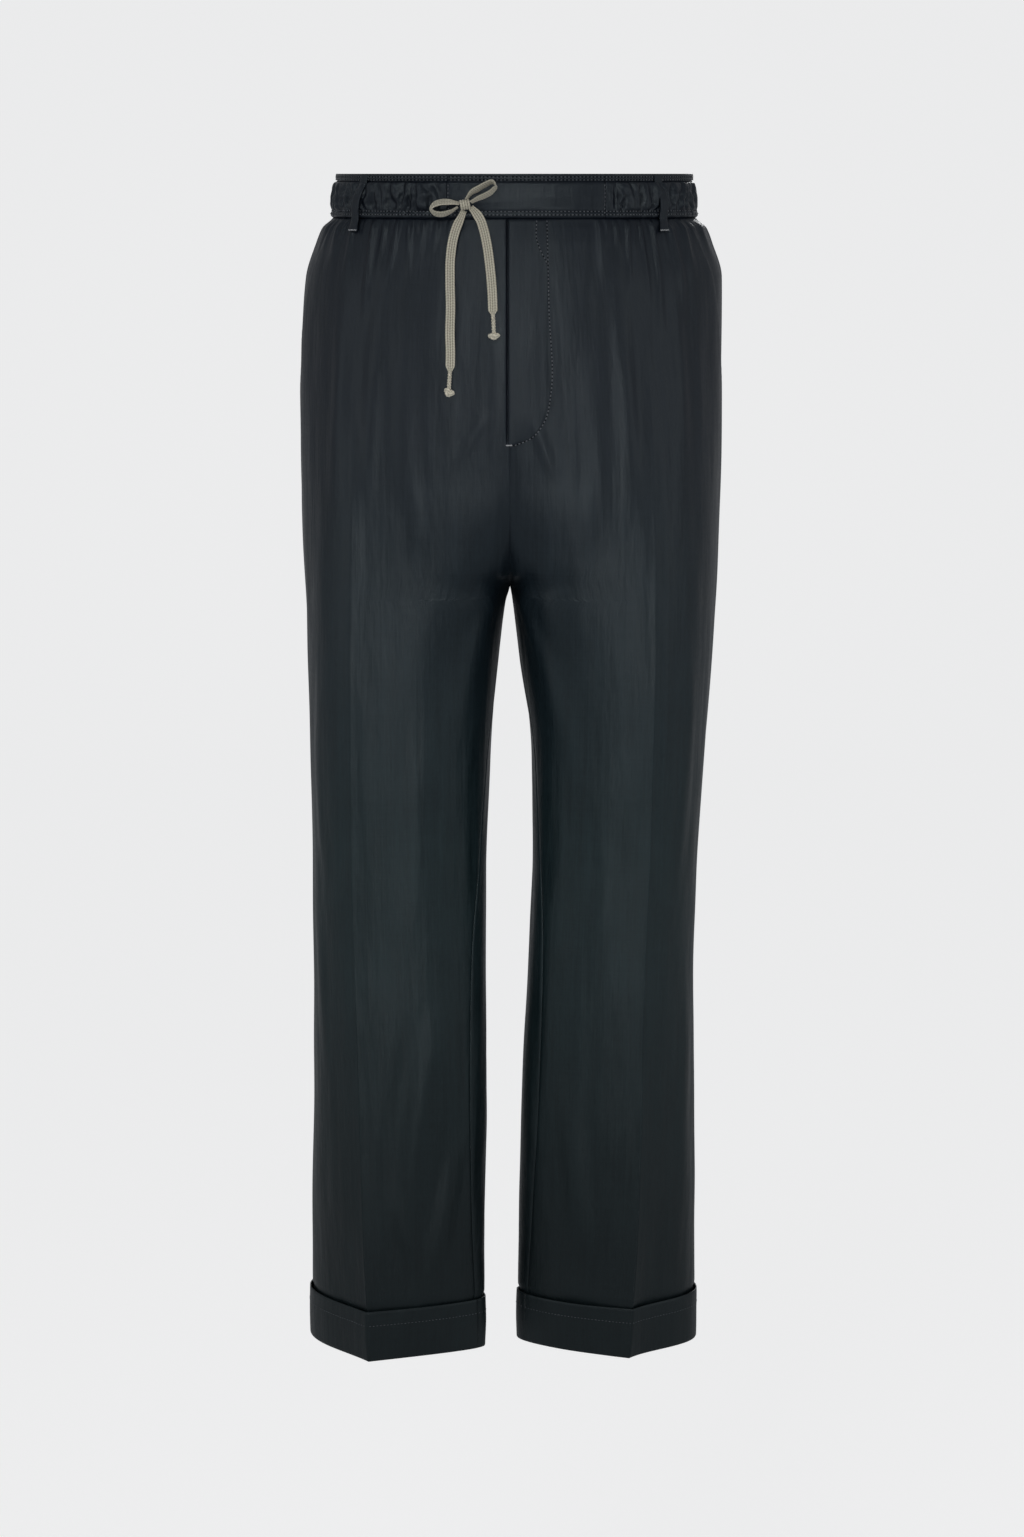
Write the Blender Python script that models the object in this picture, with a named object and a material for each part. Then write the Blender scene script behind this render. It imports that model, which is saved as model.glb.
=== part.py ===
# Drawstring trousers, filled out as if worn, hollow, with turned-up hems and a flat braided drawstring.
# Metres, +Z up, the front faces -Y. The origin is the middle of the waist ring, halfway up the waistband.
# Right and left are the wearer's: the right leg lies at -X and the left leg at +X.

import math
from collections import namedtuple

import bpy
import numpy as np

MM = 0.001

# Heights, measured down from the top edge of the waistband
WAIST_RISE = 0.019
BAND_FOOT = 0.0377
PANEL_TOP = 0.0380
FLY_FOOT = 0.230
HIP_DROP = 0.257
CROTCH_DROP = 0.367
CUFF_TOP = 1.018
HEM_DROP = 1.065
EASE = 0.020
EASE_FROM = 0.100

# The shortest handle of a section's curves, as a share of the curve's span
LEAST_HANDLE = 0.08

# Walls and gaps
SEAM_GAP = 0.0003
CLOTH = 0.0012
BAND_WALL = 0.0022
CUFF_WALL = 0.0013
LAP_WALL = 0.0010
STRAP_WALL = 0.0012

# Waistband: the flat front runs from the right tab end to the left one, and the rest is gathered
TAB_RIGHT = 0.054
TAB_LEFT = 0.083
PUCKER_PITCH = 0.0097
PUFF_RAMP = 0.020

# Fly lap
LAP_EDGE = -0.0017
LAP_WIDTH = 0.0335
LAP_STRAIGHT = 0.189

# Belt loops
STRAP_WIDTH = 0.0090
STRAP_CLEAR = 0.0005
STRAP_OVER_GATHERS = 0.0031

# Drawstring
CORD_WIDTH = 0.0080
CORD_THICK = 0.0018
TIP_THICK = 0.0034
KNOT_SIZE = (0.0092, 0.0078, 0.0086)
KNOT_LIFT = 0.0049
RIGHT_END_SIZE = (0.0102, 0.0066, 0.0076)
LEFT_END_SIZE = (0.0110, 0.0064, 0.0062)


class Table:
    """Named columns of millimetres, read between its rows along a smooth curve."""

    def __init__(self, columns, rows, unit=MM):
        self.columns = columns
        self.rows = np.array(rows, float)
        self.rows[:, 0] *= MM
        self.rows[:, 1:] *= unit

    def eased(self, column, drop):
        """The same, evened out over a short height below the waist."""
        reach = min(EASE, max(drop - EASE_FROM, 0.0), max(HEM_DROP - drop, 0.0))
        spots = [(part, 3 - abs(part)) for part in (-2, -1, 0, 1, 2)]
        return sum(self.at(column, drop + reach * part / 2) * weight for part, weight in spots) / 9

    def at(self, column, drop):
        drops = self.rows[:, 0]
        values = self.rows[:, self.columns.index(column)]
        rates = np.diff(values) / np.diff(drops)
        same = rates[:-1] * rates[1:] > 0
        between = np.where(same, 2 * rates[:-1] * rates[1:] / np.where(same, rates[:-1] + rates[1:], 1.0), 0.0)
        slopes = np.concatenate((rates[:1], between, rates[-1:]))
        i = int(np.clip(np.searchsorted(drops, drop) - 1, 0, len(drops) - 2))
        span = drops[i + 1] - drops[i]
        t = min(max((drop - drops[i]) / span, 0.0), 1.0)
        start = (1 + 2 * t) * (1 - t) ** 2 * values[i] + t * (1 - t) ** 2 * span * slopes[i]
        end = t * t * (3 - 2 * t) * values[i + 1] + t * t * (t - 1) * span * slopes[i + 1]
        return float(start + end)


# Front outline of each leg: distances from the centre seam plane, and the fore and aft place of each edge.
# Between the hip and the crotch the inner edge runs past that plane, where the two legs' forms meet and end.
OUTLINE = ("drop", "outer", "outerY", "crease", "creaseY", "inner", "innerY")
RIGHT_OUTLINE = Table(OUTLINE, (
    (0, 153.0, 0, 116, -74, 0, -107.0),
    (38, 156.5, 0, 121, -70, 0, -107.5),
    (47, 165.5, 1, 123, -74, 0, -110.0),
    (60, 171.5, 2, 125, -78, 0, -113.5),
    (90, 181.0, 3, 129, -83, 0, -117.6),
    (140, 185.4, 4, 132.5, -86.5, 0, -121.4),
    (200, 187.6, 6, 135.3, -89.5, 0, -119.0),
    (257, 187.3, 8, 137, -92.5, -2, -111.0),
    (290, 186.9, 8, 137.6, -94, -5, -101.8),
    (320, 186.3, 8, 138.2, -95, -6, -85),
    (345, 185.2, 8, 138.7, -95, -4, -58),
    (367, 183.7, 8, 139, -94.8, 0.2, 15),
    (380, 183.3, 8, 139.3, -94.5, 4.0, 14.5),
    (430, 182.3, 6, 140.2, -93, 9.8, 8),
    (520, 180.8, 2, 141, -87.5, 17.8, -2),
    (610, 179.2, -4, 141, -81, 21.4, -12),
    (710, 179.6, -6, 139.3, -77.5, 22.2, -18),
    (830, 180.8, -6, 135.7, -78, 21.4, -24),
    (940, 183.8, -4, 133, -81, 23.2, -32),
    (1065, 185.0, 0, 128.5, -85.6, 24.6, -42),
))
LEFT_OUTLINE = Table(OUTLINE, (
    (0, 160.7, 0, 104, -81, 0, -107.0),
    (38, 164.0, 0, 107, -81, 0, -107.5),
    (47, 173.0, 1, 109, -85, 0, -110.0),
    (60, 179.0, 2, 110, -89, 0, -113.5),
    (90, 188.0, 3, 113, -93, 0, -117.6),
    (140, 188.8, 4, 116.5, -95, 0, -121.4),
    (200, 189.2, 6, 121.5, -96.5, 0, -119.0),
    (257, 188.7, 8, 125, -98, -2, -111.0),
    (290, 187.9, 8, 125.9, -98.8, -5, -101.8),
    (320, 187.0, 8, 126.4, -99.2, -6, -85),
    (345, 186.3, 8, 126.7, -99, -4, -58),
    (367, 185.6, 8, 126.8, -98.5, 0.2, 15),
    (380, 184.8, 8, 126.9, -98, 2.4, 14.5),
    (430, 182.2, 6, 127, -95.5, 9.2, 8),
    (520, 176.5, 2, 126, -88.5, 19.6, -1),
    (610, 170.6, -3, 124, -81, 20.7, -9),
    (710, 167.3, -6, 120.3, -77, 16.5, -13),
    (830, 169.3, -8, 118.7, -74, 10.9, -15),
    (940, 171.3, -10, 116, -74, 8.2, -16),
    (1065, 171.5, -11.5, 108.2, -76, 7.4, -17),
))
# Behind, shared by both legs: the inner edge and the back crease, and how far behind the widest point the
# outseam runs, and how far inside the inner edge the inseam shows
PROFILE = Table(("drop", "rearY", "backY", "outseam", "inseam"), (
    (0, 110, 105, -4, 0),
    (38, 112, 107, -4, 0),
    (47, 115, 110, -4, 0),
    (60, 119, 114, -4, 0),
    (90, 127, 122, -3, 0),
    (140, 138, 132, -2, 0),
    (200, 143.5, 137.5, 0, 0),
    (257, 136, 135.5, 0, 0),
    (290, 122, 131, 0, 0),
    (320, 94, 126, 0, 0),
    (345, 56, 121, 0, 0),
    (367, 15, 116, 0, 0),
    (430, 15, 103, 8, 0.5),
    (520, 15, 87, 18, 3),
    (610, 15, 74, 24, 6),
    (700, 15, 68, 22, 12),
    (830, 15, 65, 16, 14.5),
    (940, 15, 58, 8, 11.5),
    (1020, 15, 49, 0, 8),
    (1065, 15, 44.5, -3, 7),
))
# In degrees: the way each crease faces, outward from straight ahead or straight behind, the angle that its
# pressed edge turns through, and how far the inner edge has turned under in front and behind
CREASES = Table(("drop", "frontFacing", "backFacing", "frontPress", "backPress", "frontUnder", "rearUnder"), (
    (0, 40, 8, 0, 0, 0, 0),
    (38, 38, 9, 0, 0, 0, 0),
    (90, 34, 12, 0, 0, 0, 0),
    (200, 29, 11, 4, 0, 0, 0),
    (257, 24, 7, 8, 1, 6, 7),
    (290, 20.5, 3, 10, 3, 20, 22),
    (320, 17.5, -1.5, 12, 5, 42, 45),
    (345, 15.5, -5, 13, 7, 68, 70),
    (367, 14.5, -7.5, 14, 8, 90, 90),
    (430, 14, -12, 17, 12, 90, 90),
    (610, 17, -17, 24, 20, 90, 90),
    (830, 18, -17, 32, 28, 90, 90),
    (1065, 17, -17, 70, 70, 90, 90),
), math.pi / 180)
# How full the inner front and inner back of each half are: 0 is straight and 1 reaches into the corner
FULLNESS = Table(("drop", "front", "rear"), (
    (0, 0.66, 0.62),
    (300, 0.66, 0.62),
    (320, 0.667, 0.62),
    (340, 0.71, 0.62),
    (350, 0.765, 0.61),
    (356, 0.80, 0.61),
    (362, 0.80, 0.61),
    (367, 0.787, 0.61),
    (380, 0.775, 0.60),
    (390, 0.762, 0.60),
    (400, 0.745, 0.59),
    (430, 0.705, 0.58),
    (450, 0.69, 0.575),
    (610, 0.64, 0.54),
    (1065, 0.60, 0.60),
), 1.0)
# Outward form of the waistband by height: plain over the flat front, puffed where it is gathered
BAND = Table(("drop", "flat", "puffed", "pucker"), (
    (0.0, 0.0, 0.0, 0.0),
    (8.5, -0.3, -0.6, 0.1),
    (13.0, 0.4, 2.6, 1.0),
    (22.0, 0.8, 4.0, 1.3),
    (31.0, 0.5, 2.8, 1.2),
    (37.7, 0.0, 0.4, 0.4),
))
BAND_DROPS = (0.0, 0.0085, 0.013, 0.022, 0.031, BAND_FOOT)

# Gathers under the waist seam: place across the panel, depth and half width, and how far down they fade.
# Across a half, 0 is the centre front, 1 the front crease, 2 the outseam, 3 the back crease, 4 the centre back.
Gather = namedtuple("Gather", ("across", "depth", "width", "reach"))
RIGHT_GATHERS = tuple(Gather(*row) for row in (
    (0.39, 1.2, 0.045, 22),
    (0.478, 1.8, 0.050, 30),
    (0.578, 2.0, 0.050, 34),
    (0.678, 2.4, 0.050, 48),
    (0.763, 2.2, 0.045, 46),
    (0.848, 2.6, 0.045, 42),
    (0.940, 3.0, 0.050, 92),
    (1.205, 2.2, 0.110, 60),
    (1.452, 2.4, 0.120, 44),
    (1.700, 2.0, 0.120, 36),
))
LEFT_GATHERS = tuple(Gather(*row) for row in (
    (0.678, 1.8, 0.070, 52),
    (0.810, 1.6, 0.060, 34),
    (0.915, 2.2, 0.050, 60),
    (1.030, 2.0, 0.050, 72),
    (1.160, 2.8, 0.060, 100),
    (1.346, 2.4, 0.090, 90),
    (1.514, 2.2, 0.080, 52),
    (1.776, 2.0, 0.120, 40),
))
REAR_GATHERS = tuple(Gather(*row) for row in (
    (2.14, 2.0, 0.075, 46),
    (2.30, 2.4, 0.075, 70),
    (2.47, 2.2, 0.080, 52),
    (2.64, 2.6, 0.075, 84),
    (2.81, 2.2, 0.080, 60),
    (3.02, 2.6, 0.090, 96),
    (3.26, 2.2, 0.110, 58),
    (3.50, 2.4, 0.110, 76),
    (3.76, 2.0, 0.110, 50),
))
# Long soft folds lower down: place across at the top and at the foot, height of each, depth and half width
Fold = namedtuple("Fold", ("across_top", "across_foot", "top", "foot", "depth", "width"))
RIGHT_FOLDS = tuple(Fold(*row) for row in (
    (0.36, 0.62, 730, 940, 3.0, 0.14),
    (0.10, 0.42, 850, 1010, 2.4, 0.12),
    (3.30, 3.62, 640, 860, 3.0, 0.18),
))
LEFT_FOLDS = tuple(Fold(*row) for row in (
    (0.30, 0.52, 800, 985, 2.2, 0.14),
    (3.20, 3.56, 700, 930, 2.8, 0.18),
))
# A belt loop's middle, by its distance from the centre plane at its top and foot, and which half it sits on
STRAPS = {
    "belt_loop_front_right": ("right", "front", 0.1245, 0.1335),
    "belt_loop_front_left": ("left", "front", 0.1270, 0.1310),
    "belt_loop_back_right": ("right", "rear", 0.0900, 0.0960),
    "belt_loop_back_left": ("left", "rear", 0.0940, 0.1000),
    "belt_loop_back_centre": ("right", "rear", 0.0, 0.0),
}
STRAP_TOP = 0.0004
STRAP_FOOT = 0.0485

SIDES = {
    "right": (-1.0, RIGHT_OUTLINE, RIGHT_GATHERS, RIGHT_FOLDS),
    "left": (1.0, LEFT_OUTLINE, LEFT_GATHERS, LEFT_FOLDS),
}

# Drawstring routes: distance along X, height below the waistband's top edge, and how far it stands off.
# A loop's rows also give how its width leans along X and Z for each length that it runs back.
KNOT = (-38.2, 25.8)
RIGHT_LOOP = ((-43.1, 24.8, 5.2, 0.0, 0.6), (-51.4, 23.6, 7.0, 0.0, 0.8), (-59.8, 24.0, 8.2, 0.0, 0.8),
              (-64.6, 25.8, 9.0, -0.1, 0.7), (-67.4, 29.2, 9.4, -0.3, 0.0), (-64.8, 32.6, 9.0, -0.1, -0.6),
              (-58.8, 34.0, 8.2, 0.0, -0.7), (-51.4, 32.0, 7.2, 0.0, -0.6), (-44.4, 27.8, 6.0, 0.0, -0.3))
LEFT_LOOP = ((-36.9, 20.9, 5.2, 0.1, -0.6), (-32.6, 15.6, 6.6, 0.1, -0.8), (-27.0, 12.4, 7.2, 0.1, -0.8),
             (-20.6, 8.8, 7.8, 0.1, -0.7), (-14.6, 6.8, 8.2, 0.1, -0.6), (-12.2, 9.8, 8.2, 0.2, -0.6),
             (-15.2, 14.4, 7.8, 0.1, -0.7), (-21.4, 18.2, 7.0, 0.1, -0.7), (-27.4, 20.8, 6.4, 0.1, -0.7),
             (-33.2, 23.8, 5.2, 0.1, -0.6))
RIGHT_TAIL = ((-39.2, 30.9, 3.1), (-41.8, 36.8, 4.0), (-45.0, 43.6, 5.0), (-48.0, 53, 5.2), (-50.6, 70, 4.9),
              (-51.0, 90, 4.4), (-50.6, 112, 4.0), (-51.2, 134, 3.6), (-50.8, 152, 3.4), (-51.2, 166, 3.4))
LEFT_TAIL = ((-33.3, 28.1, 3.4), (-29.0, 32.8, 4.1), (-25.4, 38.2, 4.8), (-22.6, 46.0, 5.2),
             (-19.8, 58, 5.2), (-17.0, 78, 4.4), (-15.1, 100, 4.2), (-14.5, 117.5, 3.8))
RIGHT_TIP = ((-51.2, 166.4, 3.4), (-51.8, 174, 3.4), (-52.2, 181.0, 3.6))
LEFT_TIP = ((-14.5, 117.9, 3.8), (-14.0, 126, 3.8), (-13.7, 133.6, 4.0))


def unit(vector):
    return vector / np.linalg.norm(vector)


def curve(start, leave, end, arrive, handles=None, count=28):
    """A smooth stretch from start to end, with handles that suit its turn unless they are given."""
    if handles is None:
        turn = math.acos(float(np.clip(np.dot(leave, arrive), -1.0, 1.0)))
        reach = 1 / 3 if turn < 0.01 else 2 / 3 * math.tan(turn / 4) / math.sin(turn / 2)
        handles = (reach * np.linalg.norm(end - start),) * 2
    t = np.linspace(0.0, 1.0, count + 1)[:, None]
    return ((1 - t) ** 3 * start + 3 * (1 - t) ** 2 * t * (start + leave * handles[0])
            + 3 * (1 - t) * t * t * (end - arrive * handles[1]) + t ** 3 * end)


def corner_handles(start, leave, end, arrive, full):
    """Handles that reach a share of the way to the corner where the two ends' directions meet."""
    across = end - start
    turn = leave[0] * arrive[1] - leave[1] * arrive[0]
    least = LEAST_HANDLE * np.linalg.norm(across)
    return (max(full * (across[0] * arrive[1] - across[1] * arrive[0]) / turn, least),
            max(full * (leave[0] * across[1] - leave[1] * across[0]) / turn, least))


def cut_at_centre(line):
    """The part of a line that starts at the centre seam plane, half a seam's gap from it."""
    plane = SEAM_GAP / 2
    if line[0, 0] >= plane:
        return line
    i = int(np.argmax(line[:, 0] > plane))
    t = (plane - line[i - 1, 0]) / (line[i, 0] - line[i - 1, 0])
    return np.vstack((line[i - 1] + (line[i] - line[i - 1]) * t, line[i:]))


def heading(angle):
    return np.array((math.cos(angle), math.sin(angle)))


class Section:
    """One half of the garment cut level: from the centre front or inseam, round the side, to the back."""

    def __init__(self, side, drop):
        self.sign, outline = SIDES[side][:2]
        self.drop = drop
        outer = np.array((outline.eased("outer", drop), outline.eased("outerY", drop)))
        crease = np.array((outline.eased("crease", drop), outline.eased("creaseY", drop)))
        inner = outline.at("inner", drop)
        back = np.array((outer[0] + max(inner, 0.0) - crease[0], PROFILE.eased("backY", drop)))
        closed = drop >= CROTCH_DROP
        front = np.array((inner, outline.at("innerY", drop)))
        rear = front if closed else np.array((inner, PROFILE.at("rearY", drop)))
        lead = heading(-CREASES.at("frontUnder", drop))
        trail = heading(math.pi + CREASES.at("rearUnder", drop))
        aft = heading(math.pi / 2)
        front_way = CREASES.eased("frontFacing", drop)
        front_fold = CREASES.eased("frontPress", drop) / 2
        back_way = math.pi - CREASES.eased("backFacing", drop)
        back_fold = CREASES.eased("backPress", drop) / 2
        full_front = FULLNESS.at("front", drop)
        full_rear = FULLNESS.at("rear", drop)
        front_end = heading(front_way - front_fold)
        rear_end = heading(back_way + back_fold)
        stretches = [
            curve(front, lead, crease, front_end, corner_handles(front, lead, crease, front_end, full_front)),
            curve(crease, heading(front_way + front_fold), outer, aft),
            curve(outer, aft, back, heading(back_way - back_fold)),
            curve(back, rear_end, rear, trail, corner_handles(back, rear_end, rear, trail, full_rear)),
        ]
        stretches[0] = cut_at_centre(stretches[0])
        stretches[3] = cut_at_centre(stretches[3][::-1])[::-1]
        if closed:
            stretches.append(stretches[0])
        self.points = np.vstack([stretches[0]] + [stretch[1:] for stretch in stretches[1:]])
        steps = np.linalg.norm(np.diff(self.points, axis=0), axis=1)
        self.lengths = np.concatenate(((0.0,), np.cumsum(steps)))
        ends = np.cumsum([0] + [len(stretch) - 1 for stretch in stretches])
        marks = [self.lengths[end] for end in ends]
        inset = 0.0
        if closed:
            half = ends[1] // 2
            inset = float(np.interp(PROFILE.at("inseam", drop), self.points[:half, 0] - inner, self.lengths[:half]))
        side_seam = marks[2] + PROFILE.at("outseam", drop)
        self.marks = (inset, marks[1], side_seam, marks[3], marks[4] + inset)

    def length_at(self, across):
        """Length round the section at a place across, which counts 0 to 4 from front to back."""
        i = int(min(max(math.floor(across), 0), 3))
        return self.marks[i] + (self.marks[i + 1] - self.marks[i]) * (across - i)

    def place(self, length, out=0.0):
        """World point at a length round the section, moved out from the cloth."""
        step = 0.0006
        spots = np.array((length - step, length, length + step))
        xs = np.interp(spots, self.lengths, self.points[:, 0])
        ys = np.interp(spots, self.lengths, self.points[:, 1])
        before = np.array((xs[1] - xs[0], ys[1] - ys[0]))
        after = np.array((xs[2] - xs[1], ys[2] - ys[1]))
        before = unit(after if np.linalg.norm(before) < 1e-9 else before)
        after = before if np.linalg.norm(after) < 1e-9 else unit(after)
        mitre = np.array((before[1] + after[1], -before[0] - after[0])) / (1 + float(np.dot(before, after)))
        x = xs[1] + mitre[0] * out
        y = ys[1] + mitre[1] * out
        return (self.sign * x, y, WAIST_RISE - self.drop)

    def length_at_x(self, distance, half):
        """Length round the section where the front or rear half is this far from the centre plane."""
        widest = int(np.argmax(self.points[:, 0]))
        if half == "front":
            return float(np.interp(distance, self.points[:widest + 1, 0], self.lengths[:widest + 1]))
        xs = self.points[widest:, 0][::-1]
        return float(np.interp(distance, xs, self.lengths[widest:][::-1]))


def hump(distance):
    """A rounded ridge, 1 at its middle and 0 from a distance of 1."""
    return 0.5 + 0.5 * math.cos(math.pi * distance) if abs(distance) < 1 else 0.0


def gather_out(side, across, drop):
    """How far the gathers stand out from the plain panel."""
    out = 0.0
    for gather in SIDES[side][2] + REAR_GATHERS:
        fade = max(1.0 - (drop - PANEL_TOP) / (gather.reach * MM), 0.0)
        out += gather.depth * MM * hump((across - gather.across) / gather.width) * fade
    return out


def fold_out(side, across, drop):
    """How far the long soft folds stand out from the plain panel."""
    out = 0.0
    for fold in SIDES[side][3]:
        along = (drop - fold.top * MM) / ((fold.foot - fold.top) * MM)
        if 0.0 < along < 1.0:
            middle = fold.across_top + (fold.across_foot - fold.across_top) * along
            out += fold.depth * MM * hump((across - middle) / fold.width) * math.sin(math.pi * along)
    return out


def material(name, colour, roughness):
    made = bpy.data.materials.new(name)
    made.use_nodes = True
    shader = made.node_tree.nodes["Principled BSDF"]
    shader.inputs["Base Color"].default_value = (*colour, 1.0)
    shader.inputs["Roughness"].default_value = roughness
    shader.inputs["Metallic"].default_value = 0.0
    return made


def solid(name, verts, faces, colour, roughness=0.7):
    """Add a closed mesh as an object of its own, with its faces turned out."""
    mesh = bpy.data.meshes.new(name)
    mesh.from_pydata([tuple(vert) for vert in verts], [], faces)
    mesh.validate()
    mesh.materials.append(material(name, colour, roughness))
    mesh.shade_smooth()
    mesh.set_sharp_from_angle(angle=math.radians(40))
    made = bpy.data.objects.new(name, mesh)
    bpy.context.scene.collection.objects.link(made)
    return made


def grid_wall(name, outer, inner, colour, roughness=0.7):
    """Close two matching grids of points into one wall."""
    rows = len(outer)
    columns = len(outer[0])
    count = rows * columns
    verts = [point for row in outer for point in row] + [point for row in inner for point in row]
    faces = []
    for i in range(rows - 1):
        for j in range(columns - 1):
            a = i * columns + j
            b = a + 1
            c = a + columns + 1
            d = a + columns
            faces += [(a, d, c), (a, c, b)]
            faces += [(count + a, count + c, count + d), (count + a, count + b, count + c)]
    rim = [(0, j) for j in range(columns)] + [(i, columns - 1) for i in range(1, rows)]
    rim += [(rows - 1, j) for j in range(columns - 2, -1, -1)] + [(i, 0) for i in range(rows - 2, 0, -1)]
    for (i, j), (k, m) in zip(rim, rim[1:] + rim[:1]):
        a = i * columns + j
        b = k * columns + m
        faces.append((a, b, count + b, count + a))
    made = solid(name, verts, faces, colour, roughness)
    turn_out(made)
    return made


def turn_out(made):
    """Turn the faces out where the closed mesh holds a negative volume."""
    mesh = made.data
    mesh.calc_loop_triangles()
    volume = 0.0
    for triangle in mesh.loop_triangles:
        a, b, c = (mesh.vertices[index].co for index in triangle.vertices)
        volume += a.dot(b.cross(c))
    if volume < 0.0:
        mesh.flip_normals()


def panel_drops():
    """Heights of the panels' rows: close under the waist and round the crotch, wide down the leg."""
    waist = [PANEL_TOP, 0.047, 0.059, 0.075, 0.098, 0.130, 0.170, 0.214, HIP_DROP]
    fork = [HIP_DROP + (CROTCH_DROP - HIP_DROP) * math.sin(math.radians(turn)) for turn in (24, 43, 58, 70, 80)]
    leg = [CROTCH_DROP, 0.380, 0.410, 0.460, 0.530, 0.610, 0.700, 0.790, 0.860, 0.930, 0.985, CUFF_TOP]
    return waist + fork + leg + [HEM_DROP - CUFF_WALL - SEAM_GAP]


def panel_columns(side, first, last):
    """Places across a panel: its gathers, the hollows between them, the crease and a few more."""
    gathers = [gather.across for gather in SIDES[side][2] + REAR_GATHERS if first < gather.across < last]
    hollows = [(a + b) / 2 for a, b in zip(gathers, gathers[1:])]
    spread = [first, first + 0.12, first + 0.25, last - 0.12, last, first + 1.0]
    places = []
    for place in sorted(gathers + hollows + spread):
        if place in spread or all(abs(place - other) > 0.03 for other in spread):
            places.append(place)
    return places


def add_panel(name, side, first, last, colour):
    columns = panel_columns(side, first, last)
    outer = []
    inner = []
    for drop in panel_drops():
        section = Section(side, drop)
        outer_row = []
        inner_row = []
        for across in columns:
            length = section.length_at(across)
            if drop < CROTCH_DROP:
                trim = SEAM_GAP / 2 * ((across == 2 and first == 2) - (across == 2 and last == 2))
            else:
                trim = SEAM_GAP / 2 * ((across == first) - (across == last))
            raised = gather_out(side, across, drop) + fold_out(side, across, drop)
            outer_row.append(section.place(length + trim, raised))
            inner_row.append(section.place(length + trim, -CLOTH))
        outer.append(outer_row)
        inner.append(inner_row)
    grid_wall(name, outer, inner, colour)


def pucker_lengths(start, end):
    """Crests and hollows of the gathered waistband, unevenly spaced from its front end to the back."""
    lengths = [start]
    count = 0
    while True:
        count += 1
        pitch = PUCKER_PITCH * (1 + 0.22 * math.sin(2.1 * count) + 0.12 * math.sin(5.3 * count))
        if lengths[-1] + pitch > end - 0.003:
            break
        lengths += [lengths[-1] + pitch * 0.5, lengths[-1] + pitch]
    return lengths + [end]


def band_out(drop, puffed, crest):
    """How far the waistband's face stands out: puffed from 0 to 1, crest from 0 in a hollow to 1 on a pucker."""
    full = BAND.at("puffed", drop) + BAND.at("pucker", drop) * crest
    flat = BAND.at("flat", drop)
    return flat + (full - flat) * puffed


def add_elastic_band(name, side, start, colour):
    rows = [Section(side, drop) for drop in BAND_DROPS]
    finish = min(row.marks[4] for row in rows)
    lengths = pucker_lengths(start + SEAM_GAP, finish)
    outer = []
    inner = []
    for section in rows:
        stretch = (section.marks[4] - start - SEAM_GAP) / (finish - start - SEAM_GAP)
        outer_row = []
        inner_row = []
        for i, length in enumerate(lengths):
            crest = (i % 2) * (0.72 + 0.28 * math.sin(1.9 * i))
            puffed = min((length - start) / PUFF_RAMP + 0.1, 1.0)
            spot = start + SEAM_GAP + (length - start - SEAM_GAP) * stretch
            outer_row.append(section.place(spot, band_out(section.drop, puffed, crest)))
            inner_row.append(section.place(spot, -BAND_WALL))
        outer.append(outer_row)
        inner.append(inner_row)
    grid_wall(name, outer, inner, colour)


def add_flat_band(name, colour):
    spots = [("right", TAB_RIGHT * part) for part in (1.0, 0.66, 0.33, 0.0)]
    spots += [("left", TAB_LEFT * part) for part in (0.25, 0.5, 0.75, 1.0)]
    outer = []
    inner = []
    for drop in BAND_DROPS:
        halves = {side: Section(side, drop) for side in SIDES}
        out = band_out(drop, 0.0, 0.0)
        outer.append([halves[side].place(length, out) for side, length in spots])
        inner.append([halves[side].place(length, -BAND_WALL) for side, length in spots])
    grid_wall(name, outer, inner, colour)


def front_lap(x, drop, out):
    """Point on the front at a signed distance from the centre plane, moved out."""
    section = Section("left" if x >= 0 else "right", drop)
    return section.place(section.length_at_x(max(abs(x), SEAM_GAP / 2), "front"), out)


def lap_width(drop):
    """Where the J-shaped outline of the fly lap lies at this height."""
    if drop <= LAP_STRAIGHT:
        return LAP_WIDTH
    fall = (drop - LAP_STRAIGHT) / (FLY_FOOT - LAP_STRAIGHT)
    return LAP_WIDTH * math.sqrt(max(1.0 - fall * fall, 0.0))


def add_fly_lap(name, colour):
    turns = (18, 36, 52, 66, 78)
    drops = [PANEL_TOP + SEAM_GAP] + [drop for drop in panel_drops() if 0.045 < drop < LAP_STRAIGHT]
    drops.append(LAP_STRAIGHT)
    drops += [LAP_STRAIGHT + (FLY_FOOT - LAP_STRAIGHT) * math.sin(math.radians(turn)) for turn in turns]
    outer = []
    inner = []
    for drop in drops:
        xs = np.linspace(LAP_EDGE, lap_width(drop), 5)
        outer.append([front_lap(x, drop, SEAM_GAP + LAP_WALL) for x in xs])
        inner.append([front_lap(x, drop, SEAM_GAP) for x in xs])
    grid_wall(name, outer, inner, colour)


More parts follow.
